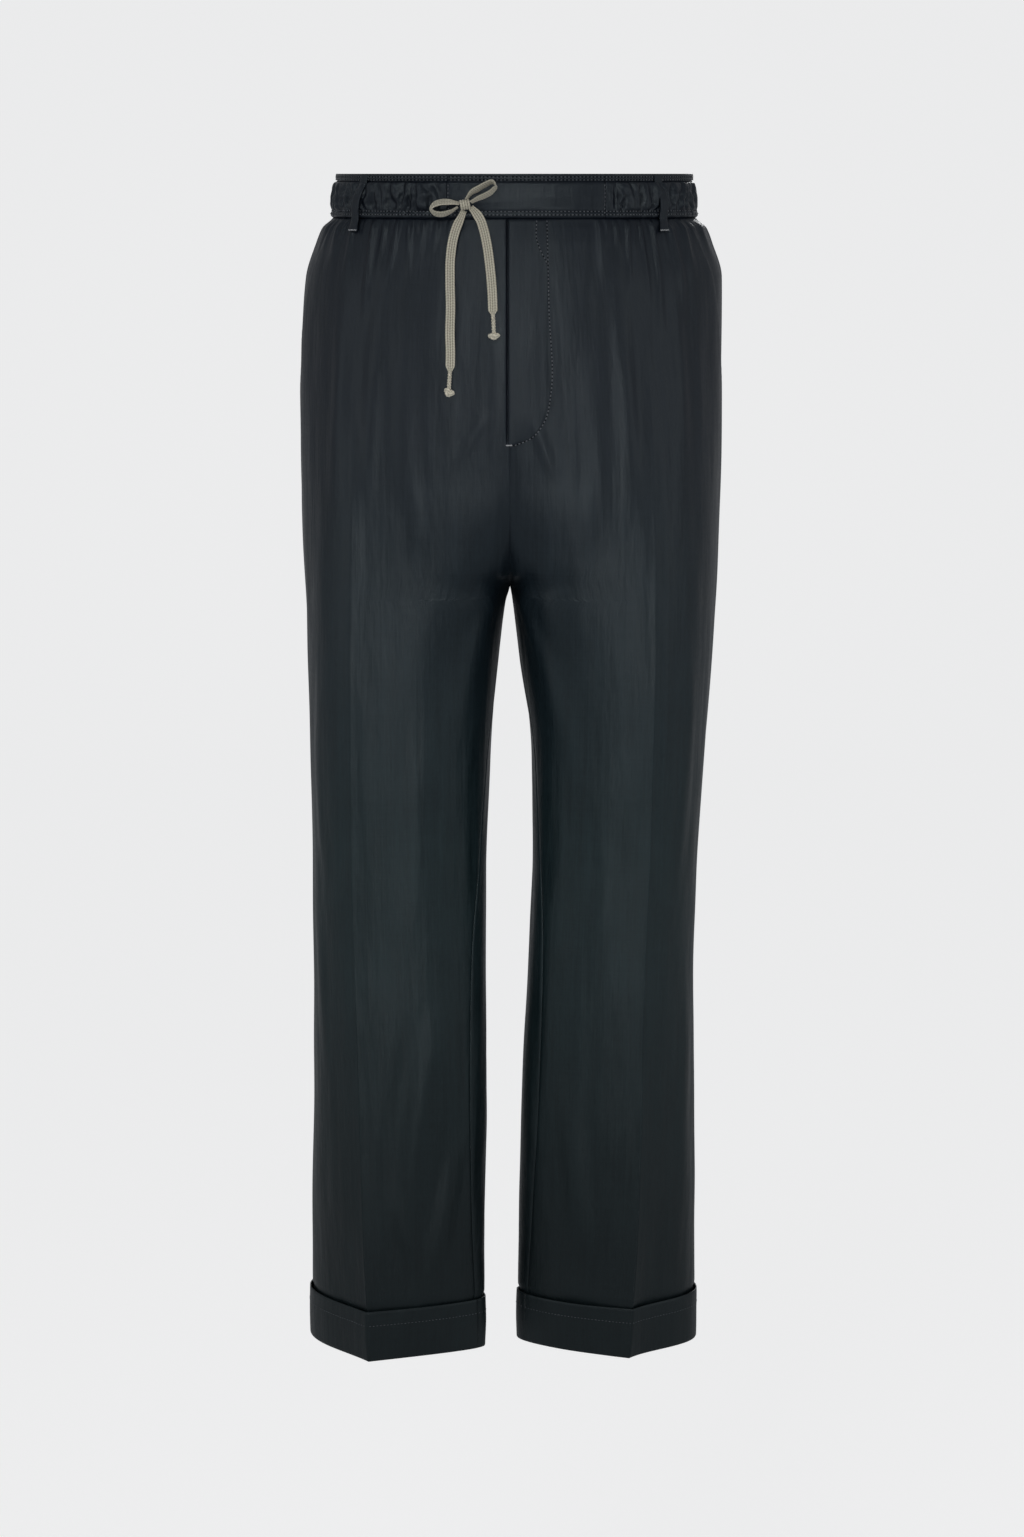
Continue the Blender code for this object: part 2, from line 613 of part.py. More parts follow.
def add_strap(name, side, half, top, foot, colour):
    """A belt loop that follows the waistband's face from its top edge to below the waist seam."""
    drops = [STRAP_TOP, 0.0085, 0.013, 0.022, 0.031, BAND_FOOT, 0.043, STRAP_FOOT]
    outer = []
    inner = []
    for drop in drops:
        section = Section(side, drop)
        along = (drop - STRAP_TOP) / (STRAP_FOOT - STRAP_TOP)
        clear = band_out(min(drop, BAND_FOOT), 1.0, 1.0)
        if drop > BAND_FOOT - 0.001:
            clear = STRAP_OVER_GATHERS
        inner_out = clear + STRAP_CLEAR
        if top == 0.0:
            other = Section("left", drop)
            middle = section.marks[4]
            row = [(section, middle - STRAP_WIDTH / 2), (section, middle), (other, other.marks[4] - STRAP_WIDTH / 2)]
        else:
            middle = section.length_at_x(top + (foot - top) * along, half)
            row = [(section, middle + STRAP_WIDTH * part) for part in (-0.5, 0.0, 0.5)]
        outer.append([half_section.place(spot, inner_out + STRAP_WALL) for half_section, spot in row])
        inner.append([half_section.place(spot, inner_out) for half_section, spot in row])
    grid_wall(name, outer, inner, colour)


def add_cuff(name, side, colour):
    """A turned-up hem: a ring outside the leg that folds in under the panels' lower edge."""
    columns = panel_columns(side, 0, 2)[:-1] + panel_columns(side, 2, 4)[:-1]
    lip = HEM_DROP - CUFF_WALL
    ring = ((CUFF_TOP, SEAM_GAP + CUFF_WALL), (HEM_DROP, SEAM_GAP + CUFF_WALL), (HEM_DROP, -CLOTH),
            (lip, -CLOTH), (lip, SEAM_GAP), (CUFF_TOP, SEAM_GAP))
    verts = []
    for drop, out in ring:
        section = Section(side, drop)
        verts += [section.place(section.length_at(across), out) for across in columns]
    count = len(columns)
    faces = []
    for i in range(len(ring)):
        rising = ring[(i + 1) % len(ring)][0] < ring[i][0]
        for j in range(count):
            a = i * count + j
            b = i * count + (j + 1) % count
            c = (i + 1) % len(ring) * count + (j + 1) % count
            d = (i + 1) % len(ring) * count + j
            faces += [(a, d, b), (d, c, b)] if rising else [(a, d, c), (a, c, b)]
    turn_out(solid(name, verts, faces, colour))


def smooth_line(knots, spacing):
    """Evenly spaced points along a smooth curve through the rows of knots, whose first three are a place."""
    knots = np.array(knots)
    steps = np.linalg.norm(np.diff(knots[:, :3], axis=0), axis=1)
    lengths = np.concatenate(((0.0,), np.cumsum(steps)))
    slopes = np.gradient(knots, lengths, axis=0)
    count = max(int(round(lengths[-1] / spacing)), 3)
    points = []
    for length in np.linspace(0.0, lengths[-1], count + 1):
        i = int(np.clip(np.searchsorted(lengths, length) - 1, 0, len(lengths) - 2))
        span = lengths[i + 1] - lengths[i]
        t = (length - lengths[i]) / span
        points.append((1 + 2 * t) * (1 - t) ** 2 * knots[i] + t * (1 - t) ** 2 * span * slopes[i]
                      + t * t * (3 - 2 * t) * knots[i + 1] + t * t * (t - 1) * span * slopes[i + 1])
    return np.array(points)


def route_points(route, spacing):
    """Points of a cord on the trousers' front, and the way its width runs at each."""
    knots = []
    for row in route:
        x, drop, lift = (value * MM for value in row[:3])
        surface = front_lap(x, drop, 0.0)
        across = (row[3], 1.0, row[4]) if len(row) > 3 else (1.0, 0.0, 0.0)
        knots.append((x, surface[1] - lift, surface[2]) + across)
    line = smooth_line(knots, spacing)
    return line[:, :3], line[:, 3:]


def add_ribbon(name, points, widths, across, colour, thick=CORD_THICK):
    """A flat braid with rounded edges along a line, its width turned towards a direction."""
    shape = ((0.5, 0.22), (0.42, 0.5), (-0.42, 0.5), (-0.5, 0.22), (-0.5, -0.22), (-0.42, -0.5), (0.42, -0.5),
             (0.5, -0.22))
    tangents = np.gradient(points, axis=0)
    verts = []
    for i, point in enumerate(points):
        tangent = unit(tangents[i])
        wide = unit(across[i] - np.dot(across[i], tangent) * tangent)
        deep = np.cross(tangent, wide)
        verts += [point + wide * u * widths[i] + deep * v * thick for u, v in shape]
    sides = len(shape)
    faces = []
    for i in range(len(points) - 1):
        for j in range(sides):
            a = i * sides + j
            b = i * sides + (j + 1) % sides
            faces.append((a, b, b + sides, a + sides))
    faces.append(tuple(range(sides - 1, -1, -1)))
    last = (len(points) - 1) * sides
    faces.append(tuple(range(last, last + sides)))
    turn_out(solid(name, verts, faces, colour, 0.8))


def add_bead(name, middle, size, colour):
    """A small rounded knot, wider than it is tall."""
    mesh = bpy.data.meshes.new(name)
    made = bpy.data.objects.new(name, mesh)
    rings = 5
    sides = 10
    verts = [(0.0, 0.0, 0.5)]
    for i in range(1, rings):
        turn = math.pi * i / rings
        for j in range(sides):
            spin = 2 * math.pi * j / sides
            verts.append((0.5 * math.sin(turn) * math.cos(spin), 0.5 * math.sin(turn) * math.sin(spin),
                          0.5 * math.cos(turn)))
    verts.append((0.0, 0.0, -0.5))
    last = len(verts) - 1
    faces = [(0, 1 + j, 1 + (j + 1) % sides) for j in range(sides)]
    for i in range(rings - 2):
        for j in range(sides):
            a = 1 + i * sides + j
            b = 1 + i * sides + (j + 1) % sides
            faces.append((a, a + sides, b + sides, b))
    faces += [(last, last - sides + (j + 1) % sides, last - sides + j) for j in range(sides)]
    mesh.from_pydata([tuple(np.array(vert) * size + middle) for vert in verts], [], faces)
    mesh.materials.append(material(name, colour, 0.8))
    mesh.shade_smooth()
    bpy.context.scene.collection.objects.link(made)
    turn_out(made)


def add_drawstring(colour):
    for name, route in (("drawstring_loop_right", RIGHT_LOOP), ("drawstring_loop_left", LEFT_LOOP)):
        points, across = route_points(route, 0.005)
        add_ribbon(name, points, [CORD_WIDTH] * len(points), across, colour)
    for name, route in (("drawstring_tail_right", RIGHT_TAIL), ("drawstring_tail_left", LEFT_TAIL)):
        points, across = route_points(route, 0.009)
        widths = [CORD_WIDTH] * (len(points) - 1) + [CORD_WIDTH * 0.55]
        add_ribbon(name, points, widths, across, colour)
    for name, route, size in (("right", RIGHT_TIP, RIGHT_END_SIZE), ("left", LEFT_TIP, LEFT_END_SIZE)):
        points, across = route_points(route, 0.006)
        add_ribbon("drawstring_tip_" + name, points, [TIP_THICK] * len(points), across, colour, TIP_THICK)
        end = points[-1] - np.array((0.0, 0.0, size[2] / 2 + SEAM_GAP))
        add_bead("drawstring_end_knot_" + name, end, np.array(size), colour)
    surface = front_lap(KNOT[0] * MM, KNOT[1] * MM, 0.0)
    middle = np.array((KNOT[0] * MM, surface[1] - KNOT_LIFT, surface[2]))
    add_bead("drawstring_knot", middle, np.array(KNOT_SIZE), colour)


def main():
    for old in list(bpy.data.objects):
        bpy.data.objects.remove(old)
    cloth = (0.022, 0.027, 0.032)
    band = (0.020, 0.025, 0.031)
    trim = (0.024, 0.029, 0.035)
    braid = (0.300, 0.260, 0.190)
    add_panel("front_right", "right", 0, 2, cloth)
    add_panel("front_left", "left", 0, 2, cloth)
    add_panel("back_right", "right", 2, 4, cloth)
    add_panel("back_left", "left", 2, 4, cloth)
    add_flat_band("waistband_front", band)
    add_elastic_band("waistband_elastic_right", "right", TAB_RIGHT, band)
    add_elastic_band("waistband_elastic_left", "left", TAB_LEFT, band)
    add_fly_lap("fly_lap", trim)
    for name, (side, half, top, foot) in STRAPS.items():
        add_strap(name, side, half, top, foot, trim)
    add_cuff("cuff_right", "right", trim)
    add_cuff("cuff_left", "left", trim)
    add_drawstring(braid)


main()
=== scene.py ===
# Drawstring trousers filled out as if worn, seen from the front in a plain pale studio.
import math
from collections import namedtuple

import bpy
import numpy as np
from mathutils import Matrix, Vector


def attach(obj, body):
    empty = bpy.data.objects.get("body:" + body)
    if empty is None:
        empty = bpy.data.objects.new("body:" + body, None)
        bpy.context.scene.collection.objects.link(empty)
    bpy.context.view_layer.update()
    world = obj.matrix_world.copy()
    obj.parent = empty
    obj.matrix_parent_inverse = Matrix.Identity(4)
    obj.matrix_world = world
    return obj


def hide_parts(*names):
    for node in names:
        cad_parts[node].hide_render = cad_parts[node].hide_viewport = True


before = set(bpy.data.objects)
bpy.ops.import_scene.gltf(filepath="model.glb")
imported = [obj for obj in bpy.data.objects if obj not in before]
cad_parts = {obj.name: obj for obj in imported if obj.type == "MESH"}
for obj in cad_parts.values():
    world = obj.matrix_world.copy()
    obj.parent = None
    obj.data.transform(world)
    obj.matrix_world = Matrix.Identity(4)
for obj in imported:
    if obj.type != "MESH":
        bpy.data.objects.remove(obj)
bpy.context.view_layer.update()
print("frame loaded:", len(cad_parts), "solids")

mm = 0.001
heights = {  # metres down from the top edge of the waistband
    "rise": 0.019,  # the origin lies this far below that edge
    "bandFoot": 0.0377,
    "panelTop": 0.0380,
    "crotch": 0.367,
    "cuffTop": 1.018,
    "hem": 1.065,
}


class Table:  # named columns of millimetres, read along a smooth curve between its rows
    def __init__(self, columns, rows, unit=mm):
        self.columns = columns
        rows = np.array(rows, float)
        self.drops = rows[:, 0] * mm
        self.values = rows * unit
        self.slopes = np.zeros_like(self.values)
        for i in range(1, rows.shape[1]):
            rates = np.diff(self.values[:, i]) / np.diff(self.drops)
            same = rates[:-1] * rates[1:] > 0
            total = np.where(same, rates[:-1] + rates[1:], 1.0)
            between = np.where(same, 2 * rates[:-1] * rates[1:] / total, 0.0)
            self.slopes[:, i] = np.concatenate((rates[:1], between, rates[-1:]))

    def at(self, column, drop):
        c = self.columns.index(column)
        i = int(np.clip(np.searchsorted(self.drops, drop) - 1, 0, len(self.drops) - 2))
        span = self.drops[i + 1] - self.drops[i]
        t = min(max((drop - self.drops[i]) / span, 0.0), 1.0)
        start = (1 + 2 * t) * (1 - t) ** 2 * self.values[i, c] + t * (1 - t) ** 2 * span * self.slopes[i, c]
        end = t * t * (3 - 2 * t) * self.values[i + 1, c] + t * t * (t - 1) * span * self.slopes[i + 1, c]
        return float(start + end)

    def eased(self, column, drop):  # the same, evened out over a short height below the waist
        reach = min(0.020, max(drop - 0.100, 0.0), max(heights["hem"] - drop, 0.0))
        spots = [(part, 3 - abs(part)) for part in (-2, -1, 0, 1, 2)]
        return sum(self.at(column, drop + reach * part / 2) * weight for part, weight in spots) / 9


outlineColumns = ("drop", "outer", "outerY", "crease", "creaseY", "inner", "innerY")
rightOutline = Table(outlineColumns, (
    (0, 153.0, 0, 116, -74, 0, -107.0),
    (38, 156.5, 0, 121, -70, 0, -107.5),
    (47, 165.5, 1, 123, -74, 0, -110.0),
    (60, 171.5, 2, 125, -78, 0, -113.5),
    (90, 181.0, 3, 129, -83, 0, -117.6),
    (140, 185.4, 4, 132.5, -86.5, 0, -121.4),
    (200, 187.6, 6, 135.3, -89.5, 0, -119.0),
    (257, 187.3, 8, 137, -92.5, -2, -111.0),
    (290, 186.9, 8, 137.6, -94, -5, -101.8),
    (320, 186.3, 8, 138.2, -95, -6, -85),
    (345, 185.2, 8, 138.7, -95, -4, -58),
    (367, 183.7, 8, 139, -94.8, 0.2, 15),
    (380, 183.3, 8, 139.3, -94.5, 4.0, 14.5),
    (430, 182.3, 6, 140.2, -93, 9.8, 8),
    (520, 180.8, 2, 141, -87.5, 17.8, -2),
    (610, 179.2, -4, 141, -81, 21.4, -12),
    (710, 179.6, -6, 139.3, -77.5, 22.2, -18),
    (830, 180.8, -6, 135.7, -78, 21.4, -24),
    (940, 183.8, -4, 133, -81, 23.2, -32),
    (1065, 185.0, 0, 128.5, -85.6, 24.6, -42),
))
leftOutline = Table(outlineColumns, (
    (0, 160.7, 0, 104, -81, 0, -107.0),
    (38, 164.0, 0, 107, -81, 0, -107.5),
    (47, 173.0, 1, 109, -85, 0, -110.0),
    (60, 179.0, 2, 110, -89, 0, -113.5),
    (90, 188.0, 3, 113, -93, 0, -117.6),
    (140, 188.8, 4, 116.5, -95, 0, -121.4),
    (200, 189.2, 6, 121.5, -96.5, 0, -119.0),
    (257, 188.7, 8, 125, -98, -2, -111.0),
    (290, 187.9, 8, 125.9, -98.8, -5, -101.8),
    (320, 187.0, 8, 126.4, -99.2, -6, -85),
    (345, 186.3, 8, 126.7, -99, -4, -58),
    (367, 185.6, 8, 126.8, -98.5, 0.2, 15),
    (380, 184.8, 8, 126.9, -98, 2.4, 14.5),
    (430, 182.2, 6, 127, -95.5, 9.2, 8),
    (520, 176.5, 2, 126, -88.5, 19.6, -1),
    (610, 170.6, -3, 124, -81, 20.7, -9),
    (710, 167.3, -6, 120.3, -77, 16.5, -13),
    (830, 169.3, -8, 118.7, -74, 10.9, -15),
    (940, 171.3, -10, 116, -74, 8.2, -16),
    (1065, 171.5, -11.5, 108.2, -76, 7.4, -17),
))
profile = Table(("drop", "rearY", "backY", "outseam", "inseam"), (
    (0, 110, 105, -4, 0),
    (38, 112, 107, -4, 0),
    (47, 115, 110, -4, 0),
    (60, 119, 114, -4, 0),
    (90, 127, 122, -3, 0),
    (140, 138, 132, -2, 0),
    (200, 143.5, 137.5, 0, 0),
    (257, 136, 135.5, 0, 0),
    (290, 122, 131, 0, 0),
    (320, 94, 126, 0, 0),
    (345, 56, 121, 0, 0),
    (367, 15, 116, 0, 0),
    (430, 15, 103, 8, 0.5),
    (520, 15, 87, 18, 3),
    (610, 15, 74, 24, 6),
    (700, 15, 68, 22, 12),
    (830, 15, 65, 16, 14.5),
    (940, 15, 58, 8, 11.5),
    (1020, 15, 49, 0, 8),
    (1065, 15, 44.5, -3, 7),
))
creaseColumns = ("drop", "frontFacing", "backFacing", "frontPress", "backPress", "frontUnder", "rearUnder")
creases = Table(creaseColumns, (
    (0, 40, 8, 0, 0, 0, 0),
    (38, 38, 9, 0, 0, 0, 0),
    (90, 34, 12, 0, 0, 0, 0),
    (200, 29, 11, 4, 0, 0, 0),
    (257, 24, 7, 8, 1, 6, 7),
    (290, 20.5, 3, 10, 3, 20, 22),
    (320, 17.5, -1.5, 12, 5, 42, 45),
    (345, 15.5, -5, 13, 7, 68, 70),
    (367, 14.5, -7.5, 14, 8, 90, 90),
    (430, 14, -12, 17, 12, 90, 90),
    (610, 17, -17, 24, 20, 90, 90),
    (830, 18, -17, 32, 28, 90, 90),
    (1065, 17, -17, 70, 70, 90, 90),
), math.pi / 180)
fullness = Table(("drop", "front", "rear"), (
    (0, 0.66, 0.62),
    (300, 0.66, 0.62),
    (320, 0.667, 0.62),
    (340, 0.71, 0.62),
    (350, 0.765, 0.61),
    (356, 0.80, 0.61),
    (362, 0.80, 0.61),
    (367, 0.787, 0.61),
    (380, 0.775, 0.60),
    (390, 0.762, 0.60),
    (400, 0.745, 0.59),
    (430, 0.705, 0.58),
    (450, 0.69, 0.575),
    (610, 0.64, 0.54),
    (1065, 0.60, 0.60),
), 1.0)
sides = {"right": (-1.0, rightOutline), "left": (1.0, leftOutline)}
leastHandle = 0.08  # the shortest handle of a curve, as a share of its span


def curve(start, leave, end, arrive, handles=None, count=56):
    if handles is None:
        turn = math.acos(float(np.clip(np.dot(leave, arrive), -1.0, 1.0)))
        reach = 1 / 3 if turn < 0.01 else 2 / 3 * math.tan(turn / 4) / math.sin(turn / 2)
        handles = (reach * np.linalg.norm(end - start),) * 2
    t = np.linspace(0.0, 1.0, count + 1)[:, None]
    return ((1 - t) ** 3 * start + 3 * (1 - t) ** 2 * t * (start + leave * handles[0])
            + 3 * (1 - t) * t * t * (end - arrive * handles[1]) + t ** 3 * end)


def cornerHandles(start, leave, end, arrive, full):  # a share of the way to where the ends' directions meet
    across = end - start
    turn = leave[0] * arrive[1] - leave[1] * arrive[0]
    least = leastHandle * np.linalg.norm(across)
    return (max(full * (across[0] * arrive[1] - across[1] * arrive[0]) / turn, least),
            max(full * (leave[0] * across[1] - leave[1] * across[0]) / turn, least))


def cutAtCentre(line):  # the part of a line that starts at the centre seam's plane
    if line[0, 0] >= 0.0:
        return line
    i = int(np.argmax(line[:, 0] > 0.0))
    t = -line[i - 1, 0] / (line[i, 0] - line[i - 1, 0])
    return np.vstack((line[i - 1] + (line[i] - line[i - 1]) * t, line[i:]))


def heading(angle):
    return np.array((math.cos(angle), math.sin(angle)))


class Section:  # one half cut level: from the centre front or inseam, round the side, to the back
    def __init__(self, side, drop):
        self.sign, outline = sides[side]
        self.drop = drop
        outer = np.array((outline.eased("outer", drop), outline.eased("outerY", drop)))
        crease = np.array((outline.eased("crease", drop), outline.eased("creaseY", drop)))
        inner = outline.at("inner", drop)
        back = np.array((outer[0] + max(inner, 0.0) - crease[0], profile.eased("backY", drop)))
        closed = drop >= heights["crotch"]
        front = np.array((inner, outline.at("innerY", drop)))
        rear = front if closed else np.array((inner, profile.at("rearY", drop)))
        lead = heading(-creases.at("frontUnder", drop))
        trail = heading(math.pi + creases.at("rearUnder", drop))
        aft = heading(math.pi / 2)
        frontWay = creases.eased("frontFacing", drop)
        frontFold = creases.eased("frontPress", drop) / 2
        backWay = math.pi - creases.eased("backFacing", drop)
        backFold = creases.eased("backPress", drop) / 2
        fullFront = fullness.at("front", drop)
        fullRear = fullness.at("rear", drop)
        frontEnd = heading(frontWay - frontFold)
        rearEnd = heading(backWay + backFold)
        stretches = [
            curve(front, lead, crease, frontEnd, cornerHandles(front, lead, crease, frontEnd, fullFront)),
            curve(crease, heading(frontWay + frontFold), outer, aft),
            curve(outer, aft, back, heading(backWay - backFold)),
            curve(back, rearEnd, rear, trail, cornerHandles(back, rearEnd, rear, trail, fullRear)),
        ]
        stretches[0] = cutAtCentre(stretches[0])
        stretches[3] = cutAtCentre(stretches[3][::-1])[::-1]
        if closed:
            stretches.append(stretches[0])
        self.points = np.vstack([stretches[0]] + [stretch[1:] for stretch in stretches[1:]])
        steps = np.linalg.norm(np.diff(self.points, axis=0), axis=1)
        self.lengths = np.concatenate(((0.0,), np.cumsum(steps)))
        ends = np.cumsum([0] + [len(stretch) - 1 for stretch in stretches])
        marks = [self.lengths[end] for end in ends]
        inset = 0.0
        if closed:
            half = ends[1] // 2
            beyond = self.points[:half, 0] - inner
            inset = float(np.interp(profile.at("inseam", drop), beyond, self.lengths[:half]))
        self.marks = np.array((inset, marks[1], marks[2] + profile.at("outseam", drop), marks[3],
                               marks[4] + inset))

    def lengthAt(self, across):  # 0 to 4: centre front, crease, outseam, back crease, centre back
        return np.interp(across, np.arange(5), self.marks)

    def place(self, lengths, outs):  # world points at lengths round the section, moved out from the cloth
        lengths = np.atleast_1d(np.asarray(lengths, float))
        step = 0.0005
        spots = np.stack((lengths - step, lengths, lengths + step))
        at = np.stack((np.interp(spots, self.lengths, self.points[:, 0]),
                       np.interp(spots, self.lengths, self.points[:, 1])), -1)
        before = at[1] - at[0]
        after = at[2] - at[1]
        sizeBefore = np.linalg.norm(before, axis=-1, keepdims=True)
        sizeAfter = np.linalg.norm(after, axis=-1, keepdims=True)
        before = np.where(sizeBefore > 1e-7, before, after)
        after = np.where(sizeAfter > 1e-7, after, before)
        before = before / np.linalg.norm(before, axis=-1, keepdims=True)
        after = after / np.linalg.norm(after, axis=-1, keepdims=True)
        dot = (before * after).sum(-1, keepdims=True)
        out = np.stack((before[:, 1] + after[:, 1], -before[:, 0] - after[:, 0]), -1) / (1 + dot)
        flat = at[1] + out * np.broadcast_to(np.asarray(outs, float), lengths.shape)[:, None]
        return np.stack((self.sign * flat[:, 0], flat[:, 1],
                         np.full(len(flat), heights["rise"] - self.drop)), -1)

    def lengthAtX(self, distance, half):
        widest = int(np.argmax(self.points[:, 0]))
        if half == "front":
            return np.interp(distance, self.points[:widest + 1, 0], self.lengths[:widest + 1])
        return np.interp(distance, self.points[widest:, 0][::-1], self.lengths[widest:][::-1])


sectionCache = {}


def sectionAt(side, drop):
    key = (side, round(float(drop), 5))
    if key not in sectionCache:
        sectionCache[key] = Section(side, float(drop))
    return sectionCache[key]


def hump(distance):  # a rounded ridge: 1 in the middle and 0 from a distance of 1
    return np.where(np.abs(distance) < 1, 0.5 + 0.5 * np.cos(np.pi * distance), 0.0)


def ramp(value, low, high):
    t = np.clip((value - low) / (high - low), 0.0, 1.0)
    return t * t * (3 - 2 * t)


def softNoise(u, v, cellU, cellV, seed):  # smooth uneven values from -1 to 1
    lattice = np.random.RandomState(seed).rand(64, 64) * 2 - 1
    x = np.asarray(u, float) / cellU + 500
    y = np.asarray(v, float) / cellV + 500
    i = np.floor(x).astype(int)
    j = np.floor(y).astype(int)
    f = ramp(x - i, 0, 1)
    g = ramp(y - j, 0, 1)
    i, j = i % 64, j % 64
    k, m = (i + 1) % 64, (j + 1) % 64
    return ((lattice[i, j] * (1 - f) + lattice[k, j] * f) * (1 - g)
            + (lattice[i, m] * (1 - f) + lattice[k, m] * f) * g)


# Camera, level with the waist and looking down a little
cameraSet = {"side": 0.0017, "back": 3.0, "tilt": 10.05, "lens": 78.6}


def makeCamera():
    data = bpy.data.cameras.new("camera")
    data.sensor_width = 36.0
    data.lens = cameraSet["lens"]
    data.clip_start = 0.05
    data.clip_end = 60.0
    camera = bpy.data.objects.new("camera", data)
    camera.location = (cameraSet["side"], -cameraSet["back"], heights["rise"])
    camera.rotation_euler = (math.radians(90 - cameraSet["tilt"]), 0.0, 0.0)
    bpy.context.scene.collection.objects.link(camera)
    bpy.context.scene.camera = camera


makeCamera()
print("camera made")


# Materials: a shader's values are handled as plain expressions
class Value:
    def __init__(self, shader, socket):
        self.shader = shader
        self.socket = socket

    def math(self, operation, *others):
        return self.shader.node("Math", {"operation": operation}, dict(enumerate((self,) + others)))

    def __add__(self, other):
        return self.math("ADD", other)

    def __sub__(self, other):
        return self.math("SUBTRACT", other)

    def __rsub__(self, other):
        return self.shader.node("Math", {"operation": "SUBTRACT"}, {0: other, 1: self})

    def __mul__(self, other):
        return self.math("MULTIPLY", other)

    __radd__ = __add__
    __rmul__ = __mul__


class Shader:
    def __init__(self, name, colour, roughness, **settings):
        self.material = bpy.data.materials.new(name)
        self.material.use_nodes = True
        self.tree = self.material.node_tree
        self.surface = self.tree.nodes["Principled BSDF"]
        self.surface.inputs["Base Color"].default_value = (*colour, 1.0)
        self.surface.inputs["Roughness"].default_value = roughness
        for socket, value in settings.items():
            self.surface.inputs[socket.replace("_", " ")].default_value = value

    def node(self, kind, settings=None, sockets=None, output=0):
        made = self.tree.nodes.new("ShaderNode" + kind)
        for key, value in (settings or {}).items():
            setattr(made, key, value)
        for key, value in (sockets or {}).items():
            if isinstance(value, Value):
                self.tree.links.new(value.socket, made.inputs[key])
            else:
                made.inputs[key].default_value = value
        return Value(self, made.outputs[output])

    def feed(self, name, value):
        self.tree.links.new(value.socket, self.surface.inputs[name])

    def cut(self):  # metres along the weft, metres down the warp, and a value for each point
        return self.node("Attribute", {"attribute_name": "cut"}, output="Vector")

    def parts(self, vector):
        split = self.tree.nodes.new("ShaderNodeSeparateXYZ")
        self.tree.links.new(vector.socket, split.inputs[0])
        return [Value(self, output) for output in split.outputs]

    def threads(self, vector, direction, scale):
        return self.node("TexWave", {"wave_type": "BANDS", "bands_direction": direction},
                         {"Vector": vector, "Scale": scale, "Distortion": 1.2, "Detail": 1.0,
                          "Detail Scale": 2.0})

    def stretched(self, vector, scale):
        return self.node("VectorMath", {"operation": "MULTIPLY"}, {0: vector, 1: scale})

    def noise(self, vector, scale, detail=2.0, roughness=0.5):
        return self.node("TexNoise", {}, {"Vector": vector, "Scale": scale, "Detail": detail,
                                          "Roughness": roughness})

    def mix(self, factor, first, second):
        made = self.tree.nodes.new("ShaderNodeMix")
        made.data_type = "RGBA"
        for key, value in ((0, factor), (6, first), (7, second)):
            if isinstance(value, Value):
                self.tree.links.new(value.socket, made.inputs[key])
            else:
                made.inputs[key].default_value = value if key == 0 else (*value, 1.0)
        return Value(self, made.outputs[2])

    def bump(self, height, distance, strength=1.0, normal=None):
        sockets = {"Height": height, "Distance": distance, "Strength": strength}
        if normal is not None:
            sockets["Normal"] = normal
        return self.node("Bump", {}, sockets)


def makeCloth(name, deep, light, roughness):  # fine plain weave with a soft satin face and faint slubs
    shader = Shader(name, light[0], roughness, Specular_IOR_Level=0.38,
                    Specular_Tint=(0.85, 0.965, 1.0, 1.0))
    cut = shader.cut()
    warp = shader.noise(shader.stretched(cut, (1.0, 0.012, 1.0)), 900.0, 3.0, 0.6)
    weft = shader.noise(shader.stretched(cut, (0.03, 1.0, 1.0)), 800.0, 3.0, 0.6)
    fleck = shader.noise(shader.stretched(cut, (1.0, 0.35, 1.0)), 420.0, 2.0, 0.6)
    cloud = shader.noise(shader.stretched(cut, (1.0, 0.55, 1.0)), 24.0, 3.0, 0.6)
    streak = shader.noise(shader.stretched(cut, (1.0, 0.05, 1.0)), 150.0, 3.0, 0.6)
    grain = warp * 0.28 + weft * 0.18 + fleck * 0.16 + cloud * 0.20 + streak * 0.18
    tone = shader.node("MapRange", {}, {"Value": grain, "From Min": 0.40, "From Max": 0.60})
    drop = shader.parts(cut)[1]
    # painted shade: the base colour darkens from the legs up to the hips and down to the shins, where less
    # light falls
    legs = shader.node("MapRange", {}, {"Value": drop, "From Min": 0.20, "From Max": 0.60})
    shinShade = shader.node("MapRange", {}, {"Value": drop, "From Min": 0.68, "From Max": 0.98})
    levels = [shader.mix(tone, dim, bright) for dim, bright in zip(deep, light)]
    shader.feed("Base Color", shader.mix(shinShade, shader.mix(legs, levels[0], levels[1]), levels[2]))
    shader.feed("Roughness", (grain - 0.5) * 0.7 + roughness)
    weave = shader.threads(cut, "X", 620.0) * shader.threads(cut, "Y", 560.0) + (warp + weft) * 0.6
    ripple = shader.noise(shader.stretched(cut, (1.0, 0.22, 1.0)), 95.0, 2.0, 0.5)
    fine = shader.bump(weave, 0.00012, 0.35)
    shader.feed("Normal", shader.bump(ripple + streak * 0.35, 0.0010, 0.8, fine))
    return shader.material


def makeBraid(name):  # flat cotton braid: chevron plaits between lengthwise ribs
    dark, light = (0.120, 0.112, 0.078), (0.830, 0.780, 0.635)
    shader = Shader(name, light, 0.78, Specular_IOR_Level=0.25, Sheen_Weight=0.25, Sheen_Roughness=0.5)
    cut = shader.cut()
    width, along, edge = shader.parts(cut)
    zigzag = (width * 500.0).math("PINGPONG", 1.0)  # one plait for each 2 mm of width
    plait = ((along * 1250.0 + zigzag * 1.3) * 2.2).math("SINE") * 0.5 + 0.5
    # painted shade: the braid is darker in the grooves between its ribs and lighter on the rib tops
    grooveShade = (width * 3141.6).math("COSINE") * 0.5 + 0.5
    fibre = shader.noise(shader.stretched(cut, (3.0, 1.0, 1.0)), 2400.0, 3.0, 0.65)
    tone = (1 - grooveShade) * 0.42 + plait * 0.18 + fibre * 0.28 + edge * 0.22
    shader.feed("Base Color", shader.mix(tone, dark, light))
    shader.feed("Normal", shader.bump(plait * 0.6 + fibre * 0.5, 0.0003, 0.6))
    return shader.material


